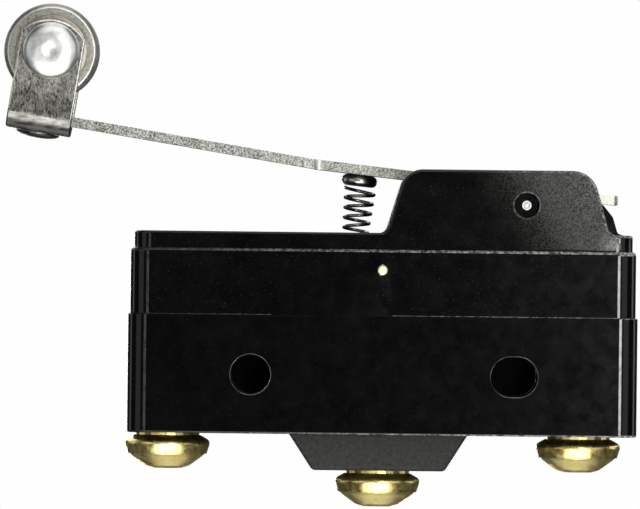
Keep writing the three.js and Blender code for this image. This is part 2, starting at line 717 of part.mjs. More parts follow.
// dished washer under each screw head, then the slotted screw
function washer(terminal) {
  const top = terminal.face - GAP - INSERT.collarH - WASHER.top;
  const profile = [
    [WASHER.bore, top],
    [WASHER.topR, top],
    [WASHER.r, top - WASHER.cone],
    [WASHER.r, top - WASHER.rim + 0.12],
    [WASHER.r - 0.12, top - WASHER.rim],
    [WASHER.r - WASHER.wall, top - WASHER.rim],
    [WASHER.r - WASHER.wall, top - 0.95],
    [WASHER.topR - 0.4, top - 0.5],
    [WASHER.bore, top - 0.5],
    [WASHER.bore, top],
  ];
  return turned(profile.reverse(), terminal.x, MID_Y, 32);
}

function screw(terminal, turn) {
  const face = terminal.face - GAP - INSERT.collarH - WASHER.top;
  const headTop = face - SCREW.headTop;
  const shoulder = face - SCREW.shoulder;
  const low = face - SCREW.low;
  const drop = shoulder - low;
  const profile = [
    [0, low],
    [SCREW.flatR, low],
    [SCREW.flatR + 0.75, low + drop * 0.16],
    [SCREW.flatR + 1.35, low + drop * 0.48],
    [SCREW.headR - 0.25, shoulder - 0.22],
    [SCREW.headR, shoulder],
    [SCREW.headR, headTop],
    [SCREW.r, headTop],
    [SCREW.r, face + SCREW.length - 0.5],
    [SCREW.r - 0.5, face + SCREW.length],
    [0, face + SCREW.length],
  ];
  const cut = solid(new THREE.BoxGeometry(10, SCREW_SLOT.width, 2 * SCREW_SLOT.depth))
    .rotate([0, 0, turn])
    .translate([terminal.x, MID_Y, low]);
  return turned(profile, terminal.x, MID_Y, ROUND).subtract(cut);
}

TERMINALS.forEach((terminal, i) => {
  add(terminal.name + "_cup_washer", washer(terminal), BRASS);
  add(terminal.name + "_screw", screw(terminal, SCREW_SLOT.turn[i]), BRASS);
});

export default group;
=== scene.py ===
import math

import bmesh
import bpy
from mathutils import Matrix, Vector


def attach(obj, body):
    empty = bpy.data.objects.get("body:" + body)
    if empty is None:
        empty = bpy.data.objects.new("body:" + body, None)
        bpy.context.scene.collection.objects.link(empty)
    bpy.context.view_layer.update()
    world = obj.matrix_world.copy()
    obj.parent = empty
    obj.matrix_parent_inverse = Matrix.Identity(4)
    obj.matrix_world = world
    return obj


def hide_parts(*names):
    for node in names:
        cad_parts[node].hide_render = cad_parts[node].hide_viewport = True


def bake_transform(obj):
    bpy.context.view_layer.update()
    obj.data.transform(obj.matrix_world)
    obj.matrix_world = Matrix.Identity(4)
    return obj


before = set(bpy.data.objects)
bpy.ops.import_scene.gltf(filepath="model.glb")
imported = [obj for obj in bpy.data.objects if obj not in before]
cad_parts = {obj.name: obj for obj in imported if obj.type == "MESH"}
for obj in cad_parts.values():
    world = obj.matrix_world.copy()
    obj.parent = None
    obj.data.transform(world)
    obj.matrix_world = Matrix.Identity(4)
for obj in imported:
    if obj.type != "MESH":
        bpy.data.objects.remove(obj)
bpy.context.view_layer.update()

# Roller-lever limit switch. Lengths are in millimetres until an object is made, +Z up, +X away from the
# roller, +Y from the front face to the rear face, origin midway between the hole axes on the rear face.

# ---- dimensions ----
MM = 0.001
GAP = 0.03  # clearance between pieces that touch on the real switch
PAST = 1  # how far a cutting tool reaches past the face it starts from
THICK = 17.45
MID_Y = -THICK / 2
HOLE_X = 12.7
HOLE_R = 1.95
SLOT_LENGTH = 4.55
SLOT_STRAIGHT = SLOT_LENGTH / 2 - HOLE_R  # half the straight length of the slotted hole
HOLE_LIP = 0.05

BASE_HALF = 24.55
BASE_LOW = -5.7
SEAM_Z = 5.72
CORNER_R = 1.8
FILLET_X = 22.3  # past this the sides curve into the upright end fillets
BASE_EDGE = 0.2
SEAM_EDGE = 0.05
COVER_HALF = 24.35
COVER_INSET = 0.1
LEDGE_Z = 12.15
LEDGE_EDGE = 0.38
CAP_HALF = 24.0
CAP_INSET = 0.4
CAP_EDGE = 0.25
TOP_Z = 13.75
ROOF_Z = 12.2
CAVITY_HALF_X = 22.7
CAVITY_HALF_Y = 5.45
COVER_CAVITY_HALF_Y = 6.95
FLOOR_Z = 4.0
TONGUE = {"half_x": 6.0, "inner": 5.5, "outer": 6.88, "top": 11.3}
COVER_PIN = {"x": -0.07, "z": 10.15, "r": 0.53, "length": 3.0}
PAD = {"from": -9.5, "to": -0.4, "proud": 0.09, "ramp": 1.3}

BOSS_OUTLINE = [
    (-8.95, -5.0, 0), (-8.95, -5.7, 0), (-6.65, -9.2, 0.6), (6.1, -9.2, 0.6), (8.3, -5.7, 0), (8.3, -5.0, 0),
]
BOSS_DEPTH = 12.6
BOSS_EDGE = 0.4
CHEEK_OUTLINE = [
    (-1.0, 12.6, 0), (-1.0, 13.75, 0), (0.2, 13.75, 0.9), (2.1, 19.92, 2.2),
    (20.05, 19.92, 2.5), (21.75, 13.75, 0.9), (23.0, 13.75, 0), (23.0, 12.6, 0),
]
CHEEK_EDGE = 0.35
SLOT_HALF_Y = 4.5
STOP_OUTLINE = [
    (16.6, 13.0, 0), (16.6, 16.4, 0.6), (19.2, 16.97, 0.6), (21.1, 16.8, 0.8),
    (22.15, 15.5, 1.2), (22.6, 13.95, 0.4), (23.4, 13.7, 0), (23.4, 13.0, 0),
]
PIVOT = {"x": 13.75, "z": 16.55, "r": 0.55, "recess_r": 1.2, "recess_depth": 1.25}

LEVER_T = 0.94
FORK_TILT = math.radians(9.24)
TAIL_TILT = math.radians(6.25)
BEND = (-6.6, 20.32)
ARM = {"end": -35.6, "half": 2.5}
HINGE = {"from": -6.7, "to": 17.8, "half": 4.1}
TAIL = {"end": 22.65, "half": 2.6}
EAR = {"half_x": 2.1, "t": 0.7, "r": 1.65, "hole_r": 0.6}

ROLLER = {"x": -32.34, "z": 31.02, "r": 4.6, "width": 4.6, "bore": 2.3, "chamfer": 0.38}
FORK = {
    "half": 3.14, "off": -0.03, "gap": 5.5, "t": 1.0, "side_top": 1.5, "arc_top": 3.0,
    "bend": 1.8, "inner_bend": 0.3,
}
LEVER_DROP = 6.43
AXLE = {"r": 1.6, "head_r": 2.75, "head_h": 1.1, "dimple_r": 0.95, "tail_r": 2.3, "tail_h": 0.8}
BUSH = {"r": 2.26, "bore": 1.66}
FORK_RIVET = {"r": 1.2, "head_r": 2.1, "head_h": 0.55, "cap_r": 1.8, "cap_h": 0.5}
ROLLER_WASHER_R = 3.45

SPRING = {
    "wire": 0.18, "low_r": 1.06, "top_r": 1.44, "low_z": 11.9, "top_z": 18.03, "turns": 6.5,
    "low_x": -2.75, "top_x": -2.3,
}
BUTTON = {"x": -2.32, "r": 1.72, "h": 1.1, "edge": 0.5, "shank": 0.58}
SPRING_HOLE_R = 1.8

TERMINALS = [
    {"name": "common", "x": -20.73, "face": BASE_LOW, "insert_top": 2.5, "riser": 0, "turn": 12},
    {"name": "no", "x": -0.34, "face": -9.2, "insert_top": 1.2, "riser": 0, "turn": -8},
    {"name": "nc", "x": 19.1, "face": BASE_LOW, "insert_top": 2.5, "riser": 1.3, "turn": 20},
]
INSERT_BORE_R = 2.43
STRIP_SLOT = {"half_x": 0.405, "half_y": 2.03}
COLLAR_H = 0.3
WASHER = {"r": 4.1, "top_r": 3.2, "bore": 1.95, "cone": 0.5, "rim": 1.8, "wall": 0.42, "taper": 0.28}
SCREW = {
    "r": 1.6, "head_r": 3.6, "flat_r": 1.35, "head_top": 1.0, "shoulder": 1.85, "low": 3.2, "length": 6.4,
    "tip": 0.5,
}
SCREW_SLOT = {"width": 0.9, "depth": 0.8}


# ---- mesh helpers ----
def outline(corners, steps=8):
    """Closed outline from corners (u, v, corner radius)."""
    points = []
    for i, (u, v, radius) in enumerate(corners):
        corner = Vector((u, v))
        if not radius:
            points.append(corner)
            continue
        back = (Vector(corners[i - 1][:2]) - corner).normalized()
        ahead = (Vector(corners[(i + 1) % len(corners)][:2]) - corner).normalized()
        half = back.angle(ahead) / 2
        reach = radius / math.tan(half)
        centre = corner + (back + ahead).normalized() * (radius / math.sin(half))
        start = corner + back * reach - centre
        end = corner + ahead * reach - centre
        first = math.atan2(start.y, start.x)
        sweep = math.remainder(math.atan2(end.y, end.x) - first, 2 * math.pi)
        for k in range(steps + 1):
            angle = first + sweep * k / steps
            points.append(centre + radius * Vector((math.cos(angle), math.sin(angle))))
    return [p for i, p in enumerate(points) if (p - points[i - 1]).length > 1e-3]


def quarter_turn(steps, first=0):
    """Angles from 0 to 90 degrees in that many equal steps."""
    return [math.pi / 2 * k / steps for k in range(first, steps + 1)]


def skin(rings, loop=False):
    """Closed surface through rings of points; a ring of one point is a tip, and loop joins last to first."""
    bm = bmesh.new()
    loops = [[bm.verts.new(p) for p in ring] for ring in rings]
    for lower, upper in zip(loops, loops[1:] + loops[:1] if loop else loops[1:]):
        count = max(len(lower), len(upper))
        for i in range(count):
            j = (i + 1) % count
            corners = [
                lower[i % len(lower)], lower[j % len(lower)],
                upper[j % len(upper)], upper[i % len(upper)],
            ]
            bm.faces.new(list(dict.fromkeys(corners)))
    if not loop:
        for end in (loops[0], loops[-1]):
            if len(end) > 2:
                bm.faces.new(end)
    bmesh.ops.recalc_face_normals(bm, faces=bm.faces)
    return bm


def across(points, low, high):
    """Outline in x, z carried from y = low to y = high."""
    return skin([[(p[0], y, p[1]) for p in points] for y in (low, high)])


def upward(points, low, high):
    """Outline in x, y carried up from z = low to z = high."""
    return skin([[(p[0], p[1], z) for p in points] for z in (low, high)])


def quarter(z, size, grows, steps=5):
    """Levels (inset, z) of a rounded edge of that size, from z upward; grows for a lower edge."""
    levels = []
    for a in quarter_turn(steps):
        if grows:
            levels.append((size * (1 - math.sin(a)), z + size * (1 - math.cos(a))))
        else:
            levels.append((size * (1 - math.cos(a)), z + size * (math.sin(a) - 1)))
    return levels


def stacked(half_x, half_y, corner, levels):
    """Upright block with rounded vertical corners and the given edge levels (inset, z)."""
    rings = []
    for inset, z in levels:
        u, v, r = half_x - inset, half_y - inset, corner - inset
        corners = [(-u, MID_Y - v, r), (u, MID_Y - v, r), (u, MID_Y + v, r), (-u, MID_Y + v, r)]
        rings.append([(p.x, p.y, z) for p in outline(corners, 12)])
    return skin(rings)


def block(x0, x1, y0, y1, z0, z1):
    return upward([(x0, y0), (x1, y0), (x1, y1), (x0, y1)], z0, z1)


def turned(profile, x, y, segments=64, loop=False):
    """Profile (radius, height) turned about the vertical axis at x, y."""
    return skin([circle(r, segments, lambda u, v, h=h: (x + u, y + v, h)) for r, h in profile], loop)


def turned_across(profile, place, segments=64, loop=False):
    """Profile (radius, y) turned about a front-to-rear axis at the x, z of place."""
    x, z = place["x"], place["z"]
    return skin([circle(r, segments, lambda u, v, h=h: (x + u, h, z + v)) for r, h in profile], loop)


def cylinder(r, low, high):
    """Profile of a plain cylinder for turned or turned_across."""
    return [(0, low), (r, low), (r, high), (0, high)]


def circle(r, segments, place):
    if r < 1e-6:
        return [place(0, 0)]
    angles = [2 * math.pi * k / segments for k in range(segments)]
    return [place(r * math.cos(a), r * math.sin(a)) for a in angles]


def softened(corners, steps=5):
    """Turned profile from (radius, height, corner radius) points; its two ends stay as they are."""
    first, last = corners[0], corners[-1]
    padded = [(first[0] - 1, first[1], 0), *corners, (last[0] - 1, last[1], 0)]
    made = outline(padded, steps)
    return [(max(p[0], 0), p[1]) for p in made[1:-1]]


def in_scene(name, data):
    """New object in the scene that holds that data."""
    made = bpy.data.objects.new(name, data)
    bpy.context.scene.collection.objects.link(made)
    return made


def make(name, bm):
    """Turns a mesh in millimetres into an object."""
    bm.transform(Matrix.Scale(MM, 4))
    mesh = bpy.data.meshes.new(name)
    bm.to_mesh(mesh)
    bm.free()
    return in_scene(name, mesh)


def as_tool(piece):
    """Takes a finished object apart into its mesh in millimetres, ready for join(), cut() or make()."""
    bm = bmesh.new()
    bm.from_mesh(piece.data)
    bm.transform(Matrix.Scale(1 / MM, 4))
    bpy.data.objects.remove(piece)
    return bm


def settle(piece):
    """Applies a piece's modifiers to its mesh."""
    bpy.context.view_layer.update()
    evaluated = piece.evaluated_get(bpy.context.evaluated_depsgraph_get())
    mesh = bpy.data.meshes.new_from_object(evaluated)
    piece.modifiers.clear()
    piece.data = mesh
    return piece


def combined(piece, operation, *tools):
    for bm in tools:
        tool = make("tool", bm)
        modifier = piece.modifiers.new("combine", "BOOLEAN")
        modifier.operation = operation
        modifier.solver = "EXACT"
        modifier.object = tool
        settle(piece)
        bpy.data.objects.remove(tool)
    return piece


def cut(piece, *tools):
    return combined(piece, "DIFFERENCE", *tools)


def join(piece, *tools):
    return combined(piece, "UNION", *tools)


def bevelled(piece, width, segments=3, angle=50):
    modifier = piece.modifiers.new("bevel", "BEVEL")
    modifier.width = width * MM
    modifier.segments = segments
    modifier.limit_method = "ANGLE"
    modifier.angle_limit = math.radians(angle)
    modifier.miter_outer = "MITER_ARC"
    return settle(piece)


def cleaned(piece):
    """Merges what booleans leave doubled and dissolves edges inside flat faces."""
    bm = bmesh.new()
    bm.from_mesh(piece.data)
    bmesh.ops.remove_doubles(bm, verts=bm.verts, dist=2e-6)
    bmesh.ops.dissolve_limit(bm, angle_limit=math.radians(0.5), verts=bm.verts, edges=bm.edges)
    bm.to_mesh(piece.data)
    bm.free()
    return piece


def soft_shaded(piece, angle=32):
    """Smooth shading broken at the sharp edges, with flat faces kept flat."""
    bm = bmesh.new()
    bm.from_mesh(piece.data)
    limit = math.radians(angle)
    for face in bm.faces:
        face.smooth = True
    for edge in bm.edges:
        edge.smooth = len(edge.link_faces) == 2 and edge.calc_face_angle(0) < limit
    bm.to_mesh(piece.data)
    bm.free()
    modifier = piece.modifiers.new("flat faces", "WEIGHTED_NORMAL")
    modifier.keep_sharp = True
    return settle(piece)


def marked(piece, surface, chosen):
    """Puts another material on the faces that chosen(normal, centre in millimetres) picks out."""
    piece.data.materials.append(surface)
    index = len(piece.data.materials) - 1
    for face in piece.data.polygons:
        if chosen(face.normal, face.center / MM):
            face.material_index = index
    return piece


def rounding(normal):
    """Faces of an edge's rounding: turned away from the front or the rear, but not by a full quarter."""
    return 0.12 < abs(normal.y) < 0.985


def in_fillet(normal, centre):
    """Faces of the housing's upright end fillets."""
    return abs(normal.z) < 0.05 and abs(centre.x) > FILLET_X


def fillet_start(normal, centre):
    """The facet of each upright end fillet that gets a painted highlight line."""
    return in_fillet(normal, centre) and 0.985 < abs(normal.y) < 0.9995


def hole_rim(normal, centre):
    """Lips of the two mounting holes."""
    near_hole = abs(centre.z) < 3 and abs(abs(centre.x) - HOLE_X) < 4
    return near_hole and rounding(normal)


def edge_highlight_faces(normal, centre):
    """Narrow rounded edges that face partly forward or back, which get a painted highlight, but not where
    the pad covers the seam.
    """
    if in_fillet(normal, centre) or hole_rim(normal, centre):
        return False
    near_pad = PAD["from"] - 1 < centre.x < PAD["to"] + 1 and abs(centre.z - SEAM_Z) < 1
    return rounding(normal) and centre.z > BASE_LOW and not near_pad


def fitted(piece, surface, body, slot, *nodes):
    """Gives a finished piece its material, its body and the CAD nodes it stands for; slot is not used."""
    piece.data.materials.clear()
    piece.data.materials.append(surface)
    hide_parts(*nodes)
    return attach(piece, body)


def fit_turned(node, bm, angle, surface, body, slot):
    """Makes, shades and fits a turned piece that stands for one CAD node."""
    return fitted(soft_shaded(make(node + "_turned", bm), angle), surface, body, slot, node)


# ---- material helpers ----
class Surface:
    """A Principled material with short names for the nodes used on every surface here."""

    def __init__(self, name, metallic=0.0, ior=1.5):
        self.material = bpy.data.materials.new(name)
        self.material.use_nodes = True
        self.tree = self.material.node_tree
        self.tree.nodes.clear()
        self.output = self.node("ShaderNodeOutputMaterial")
        self.shader = self.node("ShaderNodeBsdfPrincipled")
        self.shader.inputs["Metallic"].default_value = metallic
        self.shader.inputs["IOR"].default_value = ior
        self.link(self.shader.outputs[0], self.output.inputs[0])
        self.place = self.node("ShaderNodeTexCoord").outputs["Object"]
        self.bumps = None

    def node(self, kind, **settings):
        made = self.tree.nodes.new(kind)
        for key, value in settings.items():
            setattr(made, key, value)
        return made

    def link(self, start, end):
        self.tree.links.new(start, end)

    def feed(self, value, socket):
        """Gives a socket a colour, a number or another node's output."""
        if isinstance(value, tuple):
            socket.default_value = (*value, 1)
        elif isinstance(value, (int, float)):
            socket.default_value = value
        else:
            self.link(value, socket)

    def noise(self, size, detail, roughness, stretch=(1, 1, 1)):
        """Noise whose features are about size millimetres across."""
        mapping = self.node("ShaderNodeMapping")
        mapping.inputs["Scale"].default_value = stretch
        self.link(self.place, mapping.inputs["Vector"])
        made = self.node("ShaderNodeTexNoise")
        made.inputs["Scale"].default_value = 1 / (size * MM)
        made.inputs["Detail"].default_value = detail
        made.inputs["Roughness"].default_value = roughness
        self.link(mapping.outputs[0], made.inputs["Vector"])
        return made.outputs["Fac"]

    def axis(self, name):
        parts = self.node("ShaderNodeSeparateXYZ")
        self.link(self.place, parts.inputs[0])
        return parts.outputs[name]

    def spread(self, value, low, high, to_low=0.0, to_high=1.0, smooth=False):
        made = self.node("ShaderNodeMapRange")
        made.interpolation_type = "SMOOTHSTEP" if smooth else "LINEAR"
        for number, socket in zip((value, low, high, to_low, to_high), made.inputs):
            self.feed(number, socket)
        return made.outputs[0]

    def math(self, operation, a, b):
        made = self.node("ShaderNodeMath", operation=operation)
        self.feed(a, made.inputs[0])
        self.feed(b, made.inputs[1])
        return made.outputs[0]

    def times(self, product, *factors):
        for factor in factors:
            product = self.math("MULTIPLY", product, factor)
        return product

    def between(self, value, rise, fall):
        """1 between two ramps along value, 0 outside them; each ramp is a pair of millimetre places."""
        risen = self.spread(value, rise[0] * MM, rise[1] * MM)
        falling = self.spread(value, fall[0] * MM, fall[1] * MM)
        return self.times(risen, falling)

    def weighed(self, fine, slow, share):
        """Two patterns added, the first by that share and the second by the rest."""
        return self.math("ADD", self.times(fine, share), self.times(slow, 1 - share))

    def mixed(self, factor, a, b):
        """Colour a where factor is 0, colour b where it is 1."""
        made = self.node("ShaderNodeMix", data_type="RGBA")
        self.link(factor, made.inputs["Factor"])
        self.feed(a, made.inputs[6])
        self.feed(b, made.inputs[7])
        return made.outputs[2]

    def colour(self, value):
        self.link(value, self.shader.inputs["Base Color"])

    def roughness(self, value):
        self.link(value, self.shader.inputs["Roughness"])

    def bump(self, height, depth, strength=1.0):
        """Adds relief depth millimetres deep; strength may be a socket."""
        made = self.node("ShaderNodeBump")
        made.inputs["Distance"].default_value = depth * MM
        self.feed(strength, made.inputs["Strength"])
        self.link(height, made.inputs["Height"])
        if self.bumps:
            self.link(self.bumps, made.inputs["Normal"])
        self.bumps = made.outputs[0]
        self.link(self.bumps, self.shader.inputs["Normal"])


def moulding_surface(name):
    """Black phenolic: pale flecks, a grainy end to the hinge cheeks under a painted sheen that grows towards
    +X, and a duller terminal boss made lighter with painted bounce light.
    """
    s = Surface(name, ior=1.33)
    height, along = s.axis("Z"), s.axis("X")
    outward = s.math("ABSOLUTE", s.math("ADD", s.axis("Y"), -MID_Y * MM), 0)
    patches = s.spread(s.noise(4.0, 4, 0.6), 0.35, 0.65)
    plain = s.mixed(patches, (0.0005, 0.0005, 0.0005), (0.0014, 0.0014, 0.0013))

    # painted sheen on the +X end of the cheeks' outer faces, the side of the key light, over a grainy
    # speckle; it reaches further from the end the higher it is
    cheeks = s.spread(height, 12.2 * MM, 12.4 * MM)
    reach = s.math("ADD", along, s.times(s.math("ADD", height, -16 * MM), 0.6))
    end = s.times(
        cheeks,
        s.spread(reach, 9.0 * MM, 25 * MM, smooth=True),
        s.spread(along, 22.9 * MM, 22.5 * MM),
        s.spread(outward, 7.7 * MM, 7.9 * MM),
    )
    speckle = s.spread(s.noise(0.2, 4, 0.75), 0.40, 0.62)
    sheen_speckle = s.mixed(speckle, (0.003, 0.003, 0.0025), (0.125, 0.129, 0.106))
    body = s.mixed(s.times(end, s.spread(patches, 0, 1, 0.7, 1.0)), plain, sheen_speckle)

    # the palest part of that painted sheen, a painted highlight at the foot of that end
    foot = s.times(s.spread(along, 20.3 * MM, 22.2 * MM), s.spread(height, 14.6 * MM, 12.8 * MM), end)
    body = s.mixed(s.times(foot, s.spread(speckle, 0, 1, 0.3, 1)), body, (0.26, 0.26, 0.25))

    # the terminal boss: rougher, and a lighter mottled grey that is painted light bounced up from below
    boss = s.spread(height, (BASE_LOW - 0.05) * MM, (BASE_LOW - 0.15) * MM)
    boss_mottle = s.spread(s.noise(0.35, 3, 0.6), 0.3, 0.7)
    boss_bounce_light = s.mixed(boss_mottle, (0.010, 0.010, 0.0085), (0.029, 0.029, 0.025))
    flecks = s.times(s.spread(s.noise(0.16, 2, 0.5), 0.66, 0.74), 0.25)
    s.colour(s.mixed(flecks, s.mixed(boss, body, boss_bounce_light), (0.06, 0.062, 0.058)))
    smooth = s.spread(s.noise(1.6, 5, 0.65), 0.3, 0.7, 0.10, 0.16)
    dull = s.times(s.math("MAXIMUM", boss, end), 0.62)
    s.roughness(s.math("MAXIMUM", smooth, dull))
    s.bump(s.noise(0.2, 3, 0.6), 0.02, s.spread(end, 0, 1, 0.12, 0.6))
    s.bump(s.noise(1.2, 2, 0.5), 0.02, 0.2)
    return s.material


def edge_highlight_surface(name):
    """Painted highlight along the moulding's rounded edges: greyer, broken up by black specks, stronger
    towards +X where the key light stands.
    """
    s = Surface(name, ior=1.3)
    along = s.axis("X")
    sheen_speckle = s.spread(s.noise(0.42, 5, 0.75), 0.42, 0.62)
    # the painted highlight is stronger towards +X, the key light's side; on the cap and cheeks it starts
    # only past x 9
    body = s.math("MINIMUM", s.spread(along, -22 * MM, 22 * MM, 0.04, 1.3), 1.2)
    cheeks = s.spread(along, 9 * MM, 21 * MM, 0.04, 0.9)
    upper = s.spread(s.axis("Z"), 12.5 * MM, 12.6 * MM)
    body = s.times(body, s.math("SUBTRACT", 1, upper))
    highlight_amount = s.math("ADD", body, s.times(cheeks, upper))
    s.colour(s.mixed(s.times(sheen_speckle, highlight_amount), (0.006, 0.006, 0.0055), (0.34, 0.34, 0.32)))
    s.roughness(s.spread(sheen_speckle, 0, 1, 0.25, 0.45))
    s.bump(s.noise(0.2, 3, 0.6), 0.01, 0.5)
    return s.material


def fillet_highlight_surface(name):
    """Painted highlight line down the start of the end fillets, strong at the +X end and faint at the other.
    """
    s = Surface(name, ior=1.4)
    broken = s.spread(s.noise(0.7, 4, 0.6), 0.3, 0.6, 0.45, 1.0)
    amount = s.times(broken, s.spread(s.axis("X"), -22 * MM, 22 * MM, 0.03, 1.0))
    s.colour(s.mixed(amount, (0.003, 0.003, 0.003), (0.40, 0.40, 0.39)))
    s.roughness(s.spread(broken, 0.45, 1, 0.2, 0.4))
    s.bump(s.noise(0.2, 3, 0.6), 0.01, 0.5)
    return s.material


def lever_surface(name):
    """Plated spring steel with a coarse grain: dull where it widens, pale at the tail with a painted
    highlight, and painted highlights at the shoulder.
    """
    s = Surface(name, metallic=1.0)
    fine = s.noise(0.2, 4, 0.65)
    slow = s.noise(1.6, 3, 0.6)
    both = s.spread(s.weighed(fine, slow, 0.7), 0.38, 0.62)
    arm = s.mixed(both, (0.07, 0.07, 0.063), (0.49, 0.49, 0.457))
    hinge = s.mixed(both, (0.065, 0.065, 0.057), (0.42, 0.42, 0.373))
    # the tail's pale yellowish colour is a painted highlight
    tail = s.mixed(both, (0.42, 0.43, 0.36), (0.64, 0.65, 0.56))
    along = s.axis("X")
    start = HINGE["from"]
    strip = s.mixed(s.spread(along, start * MM, (start + 0.2) * MM), arm, hinge)
    # painted highlights: a pale patch on the shoulder's rounded corner and a white line just past it
    painted_shine = s.between(along, (start - 1.1, start - 0.9), (start, start - 0.1))
    strip = s.mixed(s.times(painted_shine, 0.22), strip, (0.85, 0.86, 0.82))
    line = s.between(along, (start + 0.28, start + 0.32), (start + 0.52, start + 0.48))
    strip = s.mixed(line, strip, (0.95, 0.95, 0.92))
    s.colour(s.mixed(s.spread(along, 15 * MM, 18 * MM), strip, tail))
    s.roughness(s.spread(fine, 0.3, 0.7, 0.28, 0.46))
    s.bump(fine, 0.03, 0.6)
    return s.material


def metal_surface(name, dark, light, rough, grain, relief, blotch=2.0, stretch=(1, 1, 1)):
    """Bare metal: grain that changes colour and gloss, slow blotches, and a shallow relief."""
    s = Surface(name, metallic=1.0)
    fine = s.noise(grain, 4, 0.65, stretch)
    slow = s.noise(blotch, 3, 0.6)
    s.colour(s.mixed(s.spread(s.weighed(fine, slow, 0.65), 0.35, 0.65), dark, light))
    s.roughness(s.spread(fine, 0.3, 0.7, *rough))
    s.bump(fine, relief, 0.6)
    return s.material


def fork_surface(name):
    """Formed steel with a fine upright grain, darker towards the bottom, just above the bend."""
    s = Surface(name, metallic=1.0)
    fine = s.noise(0.2, 4, 0.7, (1.5, 1, 0.6))
    slow = s.noise(1.6, 3, 0.6)
    both = s.spread(s.weighed(fine, slow, 0.75), 0.38, 0.62)
    height = s.math("ADD", s.axis("Z"), s.times(s.axis("X"), math.sin(FORK_TILT)))
    centre = ROLLER["z"] + ROLLER["x"] * math.sin(FORK_TILT)
    low_darkening = s.spread(height, (centre - 3.6) * MM, (centre - 5.0) * MM, smooth=True)
    plain = s.mixed(both, (0.040, 0.039, 0.034), (0.38, 0.37, 0.34))
    s.colour(s.mixed(low_darkening, plain, s.mixed(both, (0.018, 0.018, 0.015), (0.24, 0.235, 0.21))))
    s.roughness(s.spread(fine, 0.3, 0.7, 0.26, 0.42))
    s.bump(fine, 0.012, 0.6)
    return s.material


def plastic_surface(name, dark, light, rough):
    """Moulded plastic: slow changes of shade and a faint relief."""
    s = Surface(name)
    slow = s.noise(1.5, 4, 0.6)
    s.colour(s.mixed(s.spread(slow, 0.35, 0.65), dark, light))
    s.roughness(s.spread(s.noise(0.3, 3, 0.6), 0.3, 0.7, *rough))
    s.bump(s.noise(0.2, 3, 0.6), 0.006, 0.5)
    return s.material


MOULDING = moulding_surface("black_moulding")
EDGE_HIGHLIGHT_MOULDING = edge_highlight_surface("edge_highlight_moulding")
FILLET_HIGHLIGHT_MOULDING = fillet_highlight_surface("fillet_highlight_moulding")
# pale lips of the mounting holes: painted highlight round each hole's edge
RIM_HIGHLIGHT_MOULDING = plastic_surface("hole_rim_highlight", (0.02, 0.02, 0.02), (0.20, 0.20, 0.195), (0.25, 0.4))
PALE_PLASTIC = plastic_surface("pale_plastic", (0.55, 0.50, 0.38), (0.70, 0.65, 0.52), (0.35, 0.55))
LEVER_STEEL = lever_surface("lever_steel")
FORK_STEEL = fork_surface("fork_steel")
METAL_LOOKS = {
    # dark colour, light colour, least and most roughness, grain size, relief, then for some the size of the
    # blotches and the stretch of the grain
    # painted shade on the lever's edge bevels
    "lever_edge_shade": ((0.02, 0.02, 0.018), (0.12, 0.12, 0.11), (0.30, 0.45), 0.3, 0.01),
    # painted highlight on the lever's shoulder
    "lever_shoulder_highlight": ((0.70, 0.70, 0.66), (0.96, 0.96, 0.93), (0.55, 0.65), 0.3, 0.01),
    "fork_bend": ((0.05, 0.049, 0.043), (0.33, 0.32, 0.30), (0.28, 0.42), 0.4, 0.01, 2.0, (0.4, 1, 1)),
    # painted highlight on the fork's rounded edges
    "painted_shine": ((0.40, 0.39, 0.35), (0.92, 0.91, 0.87), (0.22, 0.36), 0.3, 0.008),
    "roller": ((0.30, 0.287, 0.245), (0.50, 0.48, 0.42), (0.26, 0.36), 0.25, 0.001),
    "roller_edge": ((0.22, 0.215, 0.19), (0.46, 0.45, 0.41), (0.42, 0.55), 0.25, 0.004),
    # roller washers: a little darker than the roller, as painted shade round the axle
    "washer": ((0.22, 0.20, 0.17), (0.46, 0.42, 0.36), (0.30, 0.45), 0.3, 0.003),
    # the axle's own bright steel, also used for the roller's painted highlight ring
    "bright": ((0.55, 0.56, 0.54), (0.72, 0.73, 0.70), (0.32, 0.42), 0.5, 0.004),
    "pin": ((0.34, 0.335, 0.32), (0.74, 0.735, 0.72), (0.25, 0.38), 0.2, 0.01),
    "spring": ((0.05, 0.05, 0.047), (0.42, 0.41, 0.39), (0.22, 0.34), 0.7, 0.004),
    "button": ((0.20, 0.20, 0.19), (0.48, 0.47, 0.44), (0.20, 0.32), 0.3, 0.004),
    "brass": ((0.72, 0.51, 0.13), (1.0, 0.88, 0.40), (0.22, 0.40), 0.6, 0.03, 1.2),
    "screw_brass": ((0.80, 0.60, 0.17), (1.0, 0.90, 0.44), (0.28, 0.46), 0.6, 0.025, 1.2),
    "pale_brass": ((0.62, 0.64, 0.40), (0.80, 0.82, 0.56), (0.40, 0.55), 0.2, 0.006),
    "copper": ((0.50, 0.24, 0.13), (0.75, 0.42, 0.25), (0.2, 0.36), 0.3, 0.005, 2.0, (0.3, 1, 1)),
    "silver": ((0.70, 0.70, 0.69), (0.90, 0.90, 0.88), (0.2, 0.4), 0.2, 0.006),
}
METAL = {name: metal_surface(name + "_metal", *look) for name, look in METAL_LOOKS.items()}


# ---- housing ----
def slot_ring(x, straight, r, y, segments):
    """Ring round a mounting hole at depth y; straight is half its straight length, 0 for a round hole."""
    ring = []
    for k in range(segments):
        a = 2 * math.pi * (k + 0.5) / segments
        shift = math.copysign(straight, math.cos(a))
        ring.append((x + shift + r * math.cos(a), y, r * math.sin(a)))
    return ring


def hole_tool(x, straight):
    """Mounting hole with a small chamfer at each face."""
    front = [(-THICK - PAST, HOLE_LIP), (-THICK, HOLE_LIP), (-THICK + HOLE_LIP, 0)]
    rear = [(-THICK - y, lip) for y, lip in reversed(front)]
    return skin([slot_ring(x, straight, HOLE_R + lip, y, 64) for y, lip in front + rear])


